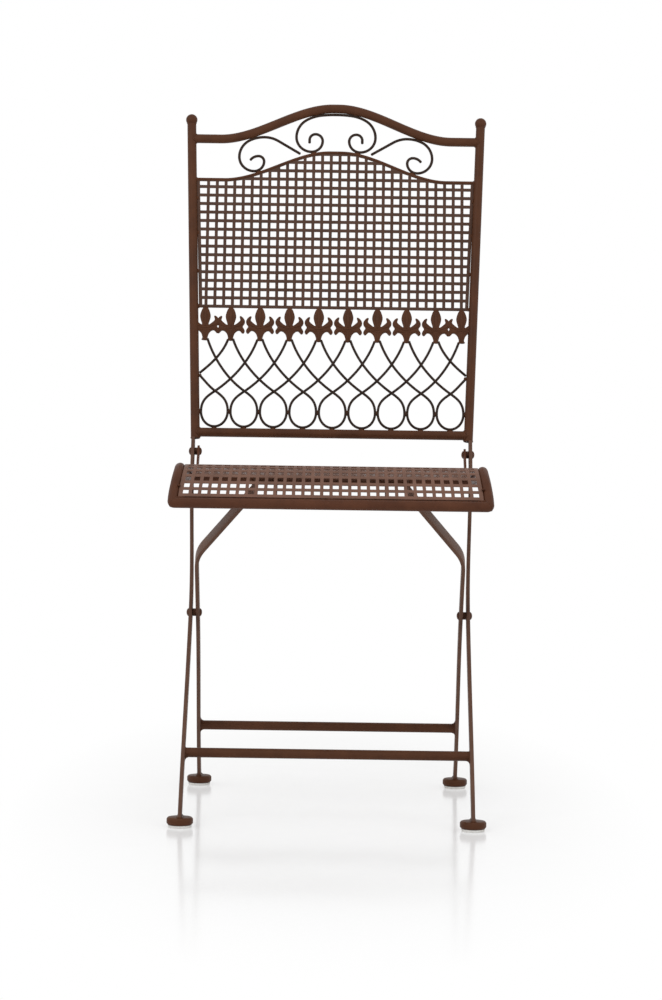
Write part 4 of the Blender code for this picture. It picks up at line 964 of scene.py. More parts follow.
@dataclass
class Assembly:
    """Base of the assemblies: the workshop, the body that carries the pieces, and their welds."""

    body: ClassVar[Body]
    metal: ClassVar[WeldMetal] = WeldMetal()

    shop: Workshop
    welds: list[Shape] = field(default_factory=list)
    seed: int = 0

    def __post_init__(self) -> None:
        """Give the chair's curves and sizes short names."""
        self.chair = self.shop.chair
        self.sizes = self.chair.sizes

    def add(self, name: str, shape: Shape, *stands_for: str, slot: Slot = Slot.BROWN,
            finish: Finish = FRAME_PAINT, sharp: float = SHARP_BEND) -> Item:
        """Make a piece on this assembly's body."""
        return self.shop.piece(name, shape, self.body, slot, finish, stands_for, sharp)

    def weld_lump(self, centre: Array, radii: Triple, axes: Array | None = None) -> None:
        """Add a lump of weld."""
        self.seed += 1
        self.welds.append(self.metal.lump(centre, radii, self.seed, axes))

    def weld_bead(self, path: Array, radius: float, reference: Array, closed: bool = True) -> None:
        """Add a bead of weld."""
        self.seed += 1
        self.welds.append(self.metal.bead(path, radius, reference, self.seed, closed))

    def finish_welds(self, name: str, slot: Slot = Slot.BROWN, finish: Finish = FRAME_PAINT) -> None:
        """Make one piece of all the welds."""
        self.add(name, Shape.joined(self.welds), slot=slot, finish=finish, sharp=SHARP_WELD_BEND)

    def add_net(self, name: str, grid_x: Array, grid_run: Array, place: Callable[[Array, Array], Array],
                thickness: float, nodes: tuple[str, ...], slot: Slot, finish: Finish) -> None:
        """Make a net from a grid whose cells of odd row and odd column are openings.

        The last row and the last column have none, and no cell that is too low or too narrow does.

        Args:
            name: Name of the piece.
            grid_x: Place across of each grid corner.
            grid_run: Place up or along of each grid corner.
            place: Maps the two to points.
            thickness: Thickness of the strips.
            nodes: CAD nodes that the net stands for.
            slot: Material slot of the record.
            finish: Its surface.
        """
        rows, columns = grid_x.shape
        tallest = np.maximum(np.diff(grid_run[:, 1:], axis=0), np.diff(grid_run[:, :-1], axis=0))
        width = np.diff(grid_x[:-1], axis=1)
        row = np.arange(rows - 1)[:, None]
        column = np.arange(columns - 1)[None, :]
        opening = (row % 2 == 1) & (column % 2 == 1) & (row < rows - 2) & (column < columns - 2)
        opening &= (tallest > LEAST_OPENING_RISE) & (width > LEAST_OPENING_WIDTH)
        shape = Shape.sheet(place(grid_x, grid_run), (tallest > FLAT_CELL) & ~opening)
        item = self.add(name, shape, *nodes, slot=slot, finish=finish, sharp=SHARP_SHEET_BEND)
        self.shop.thicken(item, thickness, even=True)
        self.shop.soften(item, NET_SOFT_WIDTH, segments=1)


@dataclass
class LegFrame(Assembly):
    """Base of the two leg frames: their feet, their stretchers and the welds round them."""

    cap_profile: Pairs = (
        (0.0, 0.0100), (0.0154, 0.0100), (0.0160, 0.0097), (0.0173, 0.0081), (0.0175, 0.0077),
        (0.0175, 0.0027), (0.0173, 0.0022), (0.0157, 0.0002), (0.0152, 0.0), (0.0, 0.0))
    pad_profile: Pairs = (
        (0.0, 0.0030), (0.0155, 0.0030), (0.0155, 0.0009), (0.0152, 0.0003), (0.0146, 0.0), (0.0, 0.0))
    foot_sides: int = 56
    foot_weld_gap: float = 0.0006
    foot_weld_lift: float = 0.0004
    foot_weld_radius: float = 0.0013
    foot_weld_powers: Pair = (0.4, 0.6)
    bar_lift: float = 0.0002
    end_weld_inset: float = 0.0001
    end_weld_radius: float = 0.0012
    web_reach: float = 0.0044
    web_drop: float = 0.0060
    web_sink: float = 0.0003
    web_bite: float = 0.0015
    web_layers: Pairs = ((-0.0034, 0.75), (-0.0027, 1.0), (0.0027, 1.0), (0.0034, 0.75))

    def foot(self, label: str, side: str, centre: Array, lean: float) -> None:
        """Cap and pad below a leg, turned from profiles, and the weld that joins the bar to the cap.

        The weld runs round a rectangle with soft corners: cosine and sine to small powers.

        Args:
            label: Front or rear.
            side: Left or right.
            centre: Middle of the foot on the floor.
            lean: Angle of the leg from upright.
        """
        size = self.sizes
        lift = np.array([0.0, 0.0, size.foot_top - self.cap_profile[0][1]])
        cap = turned(self.cap_profile, centre + lift, UPWARD, self.foot_sides)
        pad = turned(self.pad_profile, centre, UPWARD, self.foot_sides)
        self.add(f"{label}_cap_{side}", cap, f"{label}_foot_cap_{side}")
        self.add(f"{label}_pad_{side}", pad, f"{label}_foot_pad_{side}", slot=Slot.PAD, finish=PAD_PLASTIC)
        turn = round_turns(48)
        across, along = (np.sign(wave) * np.abs(wave) ** power
                         for wave, power in zip((np.cos(turn), np.sin(turn)), self.foot_weld_powers))
        half_length = size.bar_half_width / math.cos(lean) + self.foot_weld_gap
        half_thickness = size.bar_half_thickness + self.foot_weld_gap
        height = np.full(len(turn), size.foot_top + self.foot_weld_lift)
        ring = np.stack([half_thickness * across, half_length * along, height], axis=1)
        self.weld_bead(ring + centre, self.foot_weld_radius, UPWARD)

    def ring_on_bar(self, centre: Array, radius: float, thickness: float) -> None:
        """Bead round the end of a level tube that meets a bar."""
        self.weld_bead(centre + radius * circle(40, BACKWARD, UPWARD), thickness, ACROSS)

    def web(self, end: Array, sense: float, rise: float) -> None:
        """Web of weld above or below the end of a stretcher: a plate with a hollow quarter round.

        Args:
            end: End of the stretcher's axis.
            sense: Sign of its x.
            rise: 1 for a web above, -1 for one below.
        """
        turn = np.linspace(0.0, QUARTER_TURN, 9)
        rings = []
        for depth, share in self.web_layers:
            reach, drop = self.web_reach * share, self.web_drop * share
            inward = np.concatenate([[-self.web_sink, reach], reach * (1.0 - np.sin(turn)), [-self.web_sink]])
            down = np.concatenate([[-self.web_bite, -self.web_bite], drop * (1.0 - np.cos(turn)), [drop]])
            rings.append(np.stack([end[0] - sense * inward, np.full(len(inward), end[1] + depth),
                                   end[2] + rise * (self.sizes.tube + down)], axis=1))
        points = np.array(rings)
        if sense * rise < 0.0:
            points = points[:, ::-1]
        self.welds.append(Shape.skin(points))

    def stretcher(self, label: str, leg: Pair, lean: float, z: float, webs: tuple[float, ...]) -> None:
        """Level tube between two leg bars, with a bead and webs at each end.

        Args:
            label: Front or rear.
            leg: Half distance between the bars at their feet and at their crossing.
            lean: Angle of the legs from upright, positive for feet behind the crossing.
            z: Height.
            webs: Signs of its webs, 1 for one above and -1 for one below.
        """
        size = self.sizes
        half = size.leg_x(*leg, z) - size.bar_half_thickness
        y = size.cross_y + math.tan(lean) * (size.cross_z - z)
        path = self.chair.point(np.linspace(-half, half, 9), y, z)
        self.add(f"{label}_stretcher_tube", tube(path, size.tube, BACKWARD, 28), f"{label}_stretcher")
        for end, sense in ((path[0], -1.0), (path[-1], 1.0)):
            self.ring_on_bar(end, size.tube - self.end_weld_inset, self.end_weld_radius)
            for rise in webs:
                self.web(end, sense, rise)


@dataclass
class BackFrame(LegFrame):
    """Back, front legs and everything that is fixed to them."""

    body = Body.BACK_FRAME

    ball_foot_inset: float = 0.0006
    neck_weld: Pair = (0.0001, 0.0007)
    post_foot_weld: Pair = (0.0006, 0.0011)
    post_foot_lift: float = 0.0002
    saddle_weld: Pair = (0.0002, 0.0011)
    edge_inset: float = 0.003
    edge_weld: Triple = (0.0022, 0.0024, 0.0034)
    edge_weld_shift: Pair = (0.0003, -0.0005)
    net_pitch: float = 0.0127
    net_columns: int = 30
    net_rows: int = 20
    net_strip: float = 0.0045
    net_side_strip: float = 0.0050
    net_thickness: float = 0.0014
    net_foot_gap: float = 0.0012
    net_gap_run: float = 0.19
    net_bite: float = 0.0005
    net_top_strip: float = 0.0012
    net_top_overlap: float = 0.4
    net_weld: Triple = (0.0018, 0.0022, 0.0030)
    net_weld_inset: float = 0.0007
    net_weld_rises: tuple[float, ...] = (0.0, 0.052, 0.109, 0.160)
    rivet_head: Pair = (0.0055, 0.0032)
    rivet_shank: float = 0.0030
    collar_radii: Pair = (0.0048, 0.00525)
    collar_edges: Pair = (0.0001, 0.0005)

    def build(self) -> None:
        """Build all pieces of the back frame."""
        self.posts()
        self.rails()
        self.net()
        ScrollWork(self).build()
        Ornaments(self).build()
        Lattice(self).build()
        self.leg_bars()
        self.rivets()
        self.finish_welds("back_frame_welds")

    def posts(self) -> None:
        """Splayed posts with ball finials, each a tube and a turned circle."""
        size = self.sizes
        neck = size.finial_height - math.sqrt(size.finial_radius ** 2 - size.tube ** 2)
        heights = np.linspace(0.0, neck, 30)
        last_turn = math.pi - math.asin((size.tube - self.ball_foot_inset) / size.finial_radius)
        turns = np.linspace(0.0, last_turn, 24)
        ball = size.finial_radius * np.stack([np.sin(turns), np.cos(turns)], axis=1)
        ball = np.vstack([ball, [(0.0, ball[-1, 1])]])
        for side, sign in SIDES.items():
            path = self.chair.back(sign * self.chair.post_x(heights), heights)
            top = self.chair.back(sign * self.chair.post_x(size.finial_height), size.finial_height)
            axis = unit(path[-1] - path[0])
            shape = Shape.joined([tube(path, size.tube, self.chair.out, 32), turned(ball, top, axis, 40)])
            self.add(f"post_{side}", shape, f"back_post_{side}")
            self.ring_round(path[-1], axis, self.neck_weld)
            self.ring_round(path[0] + axis * self.post_foot_lift, axis, self.post_foot_weld)

    def ring_round(self, centre: Array, axis: Array, weld: Pair) -> None:
        """Bead round a post. A weld is its depth below the post's skin and its radius."""
        ring = circle(44, *square_pair(axis, self.chair.out))
        self.weld_bead(centre + (self.sizes.tube - weld[0]) * ring, weld[1], axis)

    def saddle(self, sign: float, height: float) -> None:
        """Bead where a level rail of the back meets a post: a ring laid on the post's skin.

        Args:
            sign: Sign of the post's x.
            height: Height of the rail.
        """
        inset, thickness = self.saddle_weld
        radius = self.sizes.tube - inset
        turn = round_turns(48)
        out = radius * np.cos(turn)
        rise = radius * np.sin(turn)
        depth = np.sqrt(np.maximum(self.sizes.tube ** 2 - out ** 2, 0.0))
        x = sign * (self.chair.post_x(height + rise) - depth - inset)
        self.weld_bead(self.chair.back(x, height + rise, out), thickness, ACROSS)

    def rails(self) -> None:
        """Crest rail, lower rail and the rod along the net's top, with their welds."""
        size = self.sizes
        rails = (
            ("crest_tube", "crest_rail", size.crest_end, 0.0, 121, self.chair.crest, size.tube, 28),
            ("lower_tube", "back_lower_rail", size.lower_rail, 0.0, 9, self.chair.lower, size.tube, 28),
            ("net_edge_rod", "back_net_edge", size.edge_end, self.edge_inset, 121, self.chair.edge,
             size.edge_rod, 16))
        for name, node, height, inset, count, curve, radius, sides in rails:
            end = self.chair.post_x(height) - inset
            xs = np.linspace(-end, end, count)
            self.add(name, tube(self.chair.back(xs, curve(xs)), radius, self.chair.out, sides), node)
        for sign in SIDES.values():
            self.saddle(sign, size.crest_end)
            self.saddle(sign, size.lower_rail)
            x = sign * (self.chair.post_face_x(size.edge_end) + self.edge_weld_shift[0])
            height = size.edge_end + self.edge_weld_shift[1]
            self.weld_lump(self.chair.back(x, height), self.edge_weld)

    def net(self) -> None:
        """Square net of the back: level and upright strips, cut to the posts and to the edge rod.

        It stands a little clear of the posts at its foot and bites into them further up.
        """
        size = self.sizes
        columns = (np.arange(self.net_columns) - (self.net_columns - 1) / 2) * self.net_pitch
        rows = size.net_foot + np.arange(self.net_rows) * self.net_pitch
        heights = np.concatenate([both_edges(rows, self.net_strip), [1.0]])
        level = np.minimum(heights, size.edge_end)
        narrowing = 1.0 - smoothstep((level - size.net_foot) / self.net_gap_run)
        outer = self.chair.post_face_x(level) - (self.net_foot_gap * narrowing - self.net_bite)
        inner = outer - self.net_side_strip
        grid_x = np.tile(both_edges(columns, self.net_strip), (len(heights), 1))
        grid_x = np.column_stack([-outer, -inner, grid_x, inner, outer])
        rim = self.chair.edge(grid_x)
        grid_height = np.minimum(heights[:, None], rim - size.edge_rod - self.net_top_strip)
        grid_height[-1] = rim[-1] - self.net_top_overlap * size.edge_rod
        self.add_net("back_mesh", grid_x, grid_height, self.chair.back, self.net_thickness,
                     ("back_net",), Slot.BROWN, BACK_NET_PAINT)
        for sign in SIDES.values():
            for rise in self.net_weld_rises:
                height = size.net_foot + rise
                x = sign * (self.chair.post_face_x(height) - self.net_weld_inset)
                self.weld_lump(self.chair.back(x, height), self.net_weld)

    def leg_bars(self) -> None:
        """Front leg bars that bend up into the back, their feet and their stretcher.

        A bar runs up along the leg's lean, then turns to the back's recline on an arc.
        """
        size = self.sizes
        lean = size.front_lean
        rise = np.linspace(size.foot_top + self.bar_lift, size.seat_pivot_z, 40)
        low = size.leg_x(size.front_foot_x, size.front_cross_x, rise)
        high = eased(size.front_cross_x, size.back_bar_x, rise, size.cross_z, size.seat_pivot_z)
        leans = np.linspace(lean, size.recline, 14)[1:]
        xs = np.concatenate([np.where(rise < size.cross_z, low, high), np.full(len(leans), size.back_bar_x)])
        ys = np.concatenate([size.cross_y + math.tan(lean) * (rise - size.cross_z),
                             size.seat_pivot_y + size.back_bend * (np.cos(leans) - math.cos(lean))])
        zs = np.concatenate([rise, size.seat_pivot_z + size.back_bend * (math.sin(lean) - np.sin(leans))])
        angle = np.concatenate([np.full(len(rise), lean), leans])
        across = np.stack([np.zeros(len(angle)), np.cos(angle), -np.sin(angle)], axis=1)
        widths = np.full(len(angle), size.bar_half_width)
        across[0] = BACKWARD
        widths[0] = size.bar_half_width / math.cos(lean)
        for side, sign in SIDES.items():
            centres = self.chair.point(sign * xs, ys, zs)
            shape = rounded_bar(centres, across, widths, size.bar_half_thickness)
            self.add(f"leg_bar_{side}", shape, f"front_leg_bar_{side}", finish=LEG_PAINT)
            self.foot("front", side, self.chair.point(sign * size.front_foot_x, 0.0, 0.0), lean)
        leg = (size.front_foot_x, size.front_cross_x)
        self.stretcher("front", leg, -lean, size.front_stretcher_z, webs=(-1.0,))

    def rivets(self) -> None:
        """Rivets at the crossing and at the seat's hinge: two domes, a shank and a collar, turned."""
        size = self.sizes
        half = size.bar_half_thickness
        ear = size.back_bar_x - half - size.ear_gap
        cross = (size.front_cross_x + half, size.front_cross_x - half, size.rear_cross_x + half,
                 size.rear_cross_x - half)
        seat = (size.back_bar_x + half, size.back_bar_x - half, ear, ear - size.ear_thickness)
        rivets = (("leg", cross, size.cross_y, size.cross_z),
                  ("seat", seat, size.seat_pivot_y, size.seat_pivot_z))
        turns = np.linspace(0.0, QUARTER_TURN, 9)
        dome = np.stack([self.rivet_head[0] * np.sin(turns), self.rivet_head[1] * np.cos(turns)], axis=1)
        narrow, wide = self.collar_radii
        short, long = self.collar_edges
        shank = self.rivet_shank
        for label, (outer, collar_top, collar_foot, inner), y, z in rivets:
            upper = dome + (0.0, outer + short)
            lower = dome[::-1] * (1.0, -1.0) + (0.0, inner - short)
            middle = [(shank, outer), (shank, collar_top), (narrow, collar_top - short),
                      (wide, collar_top - long), (wide, collar_foot + long),
                      (narrow, collar_foot + short), (shank, collar_foot), (shank, inner)]
            profile = np.vstack([upper, middle, lower])
            for side, sign in SIDES.items():
                shape = turned(profile, self.chair.point(0.0, y, z), sign * ACROSS, 32)
                self.add(f"{label}_pin_{side}", shape, f"{label}_rivet_{side}")


@dataclass
class BackDetail:
    """Base of the back's smaller sub-assemblies, which ride and are welded with the back frame."""

    frame: BackFrame

    def __post_init__(self) -> None:
        """Give the chair's curves and sizes short names."""
        self.chair = self.frame.chair
        self.sizes = self.chair.sizes


@dataclass
class ScrollWork(BackDetail):
    """Scroll rods between the crest rail and the net. Arcs are radii and degrees."""

    centre_arcs: Pairs = (
        (0.1500, 7.5), (0.0540, 22.0), (0.0290, 60.5), (0.0214, 90.0), (0.0157, 90.0), (0.0101, 90.0),
        (0.0084, 90.0))
    centre_overlap: float = 0.0020
    centre_tip: float = 0.0040
    centre_scales: Pair = (0.5, 1.6)
    curl_arcs: Pairs = (
        (0.0503, 25.0), (0.0290, 65.0), (0.0227, 90.0), (0.0152, 90.0), (0.0086, 90.0), (0.0150, 53.0))
    tail_arcs: Pairs = ((0.0420, -30.5),)
    tail_tip: float = 0.0380
    curl_x: float = 0.1040
    side_scales: Pair = (0.5, 1.5)
    rounding: float = 0.7
    weld: Triple = (0.0042, 0.0017, 0.0012)
    weld_apart: float = 0.001
    weld_reach: float = 0.2

    def build(self) -> None:
        """Build the three scrolls and weld them to the rails."""
        size = self.sizes
        side_path = self.fitted(self.side_scroll, self.side_scales)
        paths = {"centre": self.fitted(self.centre_scroll, self.centre_scales),
                 "left": side_path, "right": side_path * MIRROR}
        for name, path in paths.items():
            shape = tube(self.chair.back(*path.T), size.scroll_rod, self.chair.out, 16, self.rounding)
            self.frame.add(f"scroll_rod_{name}", shape, f"scroll_{name}", slot=Slot.WIRE, finish=WIRE_SHADED_PAINT)
            self.touch_welds(path, self.chair.crest)
            self.touch_welds(path, self.chair.edge)

    @staticmethod
    def scaled(turns: Pairs, scale: float) -> Array:
        """Arcs with their radii scaled and their angles in radians."""
        table = np.array(turns)
        return np.column_stack([table[:, 0] * scale, np.radians(table[:, 1])])

    def centre_scroll(self, scale: float) -> Array:
        """Path of the symmetric centre scroll: arcs that tighten into a curl on each side.

        Args:
            scale: Scale of its radii.

        Returns:
            The points, from tip to tip.
        """
        start = (-self.centre_overlap * scale, 0.0)
        left, heading = arcs(start, math.pi, self.scaled(self.centre_arcs, scale))
        tip = left[-1] + self.centre_tip * scale * np.array([math.cos(heading), math.sin(heading)])
        left = np.vstack([left, tip])
        return np.vstack([left[::-1], left * MIRROR])

    def side_scroll(self, scale: float) -> Array:
        """Path of the left scroll: a straight tail that bends up from the net into a curl.

        Args:
            scale: Scale of its radii.

        Returns:
            The points, from the tail's end.
        """
        curl, _ = arcs((0.0, 0.0), math.pi, self.scaled(self.curl_arcs, scale))
        tail, heading = arcs((0.0, 0.0), 0.0, self.scaled(self.tail_arcs, scale))
        end = tail[-1] + self.tail_tip * scale * np.array([math.cos(heading), math.sin(heading)])
        return np.vstack([[end], tail[:0:-1], curl]) - np.array([self.curl_x, 0.0])

    @staticmethod
    def clearance(path: Array, rail: Curve, beyond: float = 0.02) -> float:
        """Least distance from a path to a rail's axis.

        Args:
            path: Points of the path.
            rail: Height of the rail.
            beyond: How far past the path's ends the rail is looked at.

        Returns:
            The distance.
        """
        xs = np.linspace(path[:, 0].min() - beyond, path[:, 0].max() + beyond, 300)
        line = np.stack([xs, rail(xs)], axis=1)
        return float(np.linalg.norm(path[:, None] - line[None], axis=2).min())

    def hang(self, shape: Array) -> Array:
        """Raise a path until it just clears the crest rail.

        Args:
            shape: Points of the path.

        Returns:
            The raised points.
        """
        size = self.sizes
        reach = size.tube + size.scroll_rod
        rise = largest(size.edge_end, size.crest_end + size.crest_rise, halvings=22,
                       fits=lambda rise: self.clearance(shape + (0.0, rise), self.chair.crest) > reach)
        return shape + np.array([0.0, rise])

    def fitted(self, draw: Callable[[float], Array], scales: Pair) -> Array:
        """Grow a scroll, hung from the crest rail, until it rests on the net's edge rod.

        Args:
            draw: Path of the scroll at a scale.
            scales: Least and greatest scale.

        Returns:
            The path's points.
        """
        rest = self.sizes.edge_rod + self.sizes.scroll_rod
        scale = largest(*scales, halvings=20,
                        fits=lambda scale: self.clearance(self.hang(draw(scale)), self.chair.edge) > rest)
        return self.hang(draw(scale))

    def touch_welds(self, path: Array, rail: Curve) -> None:
        """Weld a scroll to a rail where it comes closest, once on each side of the middle.

        Args:
            path: Points of the scroll.
            rail: Height of the rail.
        """
        xs = np.linspace(-self.weld_reach, self.weld_reach, 1200)
        line = np.stack([xs, rail(xs)], axis=1)
        for sign in SIDES.values():
            half = path[sign * path[:, 0] > self.weld_apart]
            if len(half) == 0:
                continue
            apart = np.linalg.norm(half[:, None] - line[None], axis=2)
            here, there = np.unravel_index(apart.argmin(), apart.shape)
            toward = unit(line[there] - half[here])
            spot = self.chair.back(*(half[here] + toward * self.sizes.scroll_rod))
            axes = np.array([toward[1] * ACROSS - toward[0] * self.chair.up, self.chair.out,
                             toward[0] * ACROSS + toward[1] * self.chair.up])
            self.frame.weld_lump(spot, self.weld, axes)


@dataclass(frozen=True)
class Rib:
    """Raised rib of an ornament: points in millimetres from its base, and its radius."""

    points: Pairs
    radius: float
    mirrored: bool = False

    def lines(self) -> list[Array]:
        """Points of the rib in metres, and of its mirror image where it has one."""
        line = np.array(self.points) / MILLIMETRES
        return [line, line * MIRROR] if self.mirrored else [line]


@dataclass
class Ornaments(BackDetail):
    """Ten fleur-de-lis ornaments: rounded plates with a raised leaf and curled arms."""

    right_outline: Pairs = (
        (3.5, 0.0), (3.8, 3.0), (5.6, 8.4), (9.1, 12.0), (12.5, 12.7), (14.6, 11.0), (16.7, 8.9),
        (18.8, 9.2), (20.2, 12.0), (19.5, 14.8), (17.4, 18.2), (17.8, 20.3), (19.8, 23.2), (20.2, 27.3),
        (18.0, 31.4), (14.6, 34.2), (12.5, 33.4), (13.5, 28.4), (10.1, 24.6), (5.6, 21.4), (4.9, 22.8),
        (6.5, 28.0), (7.6, 33.8), (6.2, 40.2), (3.2, 45.7))
    ribs: tuple[Rib, ...] = (
        Rib(((3.0, 17.0), (7.0, 19.4), (11.6, 20.6), (15.4, 22.8), (17.2, 26.6), (16.2, 30.0),
             (14.2, 32.2)), 0.0021, mirrored=True),
        Rib(((3.0, 14.0), (7.4, 14.4), (11.6, 15.6), (15.2, 15.4), (17.6, 13.2), (17.6, 11.2)), 0.0018,
            mirrored=True),
        Rib(((0.0, 20.0), (0.0, 28.0), (0.0, 36.0), (0.0, 43.5)), 0.0034),
        Rib(((0.0, 1.5), (0.0, 7.0), (0.0, 13.0)), 0.0021),
        Rib(((-6.2, 16.6), (-3.0, 17.2), (0.0, 17.4), (3.0, 17.2), (6.2, 16.6)), 0.0021))
    half_thickness: float = 0.0019
    rounding: float = 0.0007
    rib_sink: float = 0.55
    rib_tip: float = 0.35
    rib_swell: Pair = (0.08, 0.9)
    end_lift: float = 0.0012
    top_weld: Triple = (0.0036, 0.0016, 0.0016)
    top_weld_drop: float = 0.0026
    top_weld_lift: float = 0.0006
    base_weld: Triple = (0.0052, 0.0024, 0.0017)
    base_weld_drop: float = 0.0005

    def build(self) -> None:
        """Build the ornaments. The end ones lie a little further out, over the posts."""
        size = self.sizes
        places = self.chair.fleur_places
        for number, x in enumerate(places, 1):
            lift = self.end_lift if number in (1, len(places)) else 0.0
            name = f"fleur_{number:02d}"
            shape = Shape.joined([self.plate(x, lift), *self.relief(x, lift)])
            self.frame.add(f"{name}_leaf", shape, name, sharp=50.0)
            top = self.chair.back(x, size.net_foot - self.top_weld_drop, lift + self.top_weld_lift)
            self.frame.weld_lump(top, self.top_weld)
            base = self.chair.back(x, size.fleur_base - self.base_weld_drop, lift)
            self.frame.weld_lump(base, self.base_weld)

    def outline(self) -> Array:
        """Closed outline about the base: a cubic through each four corners in turn.

        Returns:
            The points, in metres.
        """
        right = np.array(self.right_outline) / MILLIMETRES
        corners = np.vstack([right, right[::-1] * MIRROR])
        before, after, beyond = (np.roll(corners, shift, axis=0) for shift in (1, -1, -2))
        share = np.linspace(0.0, 1.0, 5, endpoint=False)[None, :, None]
        corners, before, after, beyond = (item[:, None] for item in (corners, before, after, beyond))
        curve = 0.5 * (2 * corners + (after - before) * share
                       + (2 * before - 5 * corners + 4 * after - beyond) * share ** 2
                       + (3 * corners - before - 3 * after + beyond) * share ** 3)
        return curve.reshape(-1, 2)

    def plate(self, x: float, lift: float) -> Shape:
        """Plate with rounded edges: a flat curve that is filled, thickened and made a mesh.

        Args:
            x: Distance from the middle.
            lift: Distance out of the back's plane.

        Returns:
            The plate.
        """
        curve = bpy.data.curves.new("outline", "CURVE")
        curve.dimensions = "2D"
        curve.fill_mode = "BOTH"
        curve.extrude = self.half_thickness - self.rounding
        curve.bevel_depth = self.rounding
        curve.bevel_resolution = 2
        curve.offset = -self.rounding
        outline = self.outline()
        spline = curve.splines.new("POLY")
        spline.points.add(len(outline) - 1)
        flat = np.column_stack([outline, np.zeros(len(outline)), np.ones(len(outline))])
        spline.points.foreach_set("co", flat.ravel())
        spline.use_cyclic_u = True
        source = bpy.data.objects.new("outline", curve)
        bpy.context.scene.collection.objects.link(source)
        evaluated = source.evaluated_get(bpy.context.evaluated_depsgraph_get())
        mesh = evaluated.to_mesh()
        points = np.zeros(len(mesh.vertices) * 3)
        mesh.vertices.foreach_get("co", points)
        points = points.reshape(-1, 3)
        faces = [tuple(face.vertices) for face in mesh.polygons]
        evaluated.to_mesh_clear()
        bpy.data.objects.remove(source, do_unlink=True)
        bpy.data.curves.remove(curve)
        height = self.sizes.fleur_base + points[:, 1]
        return Shape(self.chair.back(x + points[:, 0], height, points[:, 2] + lift), faces)

    def relief(self, x: float, lift: float) -> list[Shape]:
        """Ribs on both faces: leaf, arms, stem and the band round the waist.

        Each is a tube along its points, whose radius swells by a sine and that is sunk by a share
        of its radius.

        Args:
            x: Distance from the middle.
            lift: Distance out of the back's plane.

        Returns:
            The ribs.
        """
        shapes = []
        for face in (1.0, -1.0):
            for rib in self.ribs:
                for line in rib.lines():
                    steps = np.linspace(0.0, len(line) - 1.0, 6 * (len(line) - 1) + 1)
                    smooth = [np.interp(steps, np.arange(len(line)), line[:, k]) for k in (0, 1)]
                    share = np.linspace(0.0, 1.0, len(steps)) * self.rib_swell[1] + self.rib_swell[0]
                    swell = np.sin(math.pi * np.clip(share, 0.0, 1.0))
                    radius = rib.radius * (self.rib_tip + (1.0 - self.rib_tip) * swell)
                    out = lift + face * (self.half_thickness - self.rib_sink * radius)
                    path = self.chair.back(x + smooth[0], self.sizes.fleur_base + smooth[1], out)
                    shapes.append(tube(path, radius, self.chair.out, 10, 0.8))
        return shapes


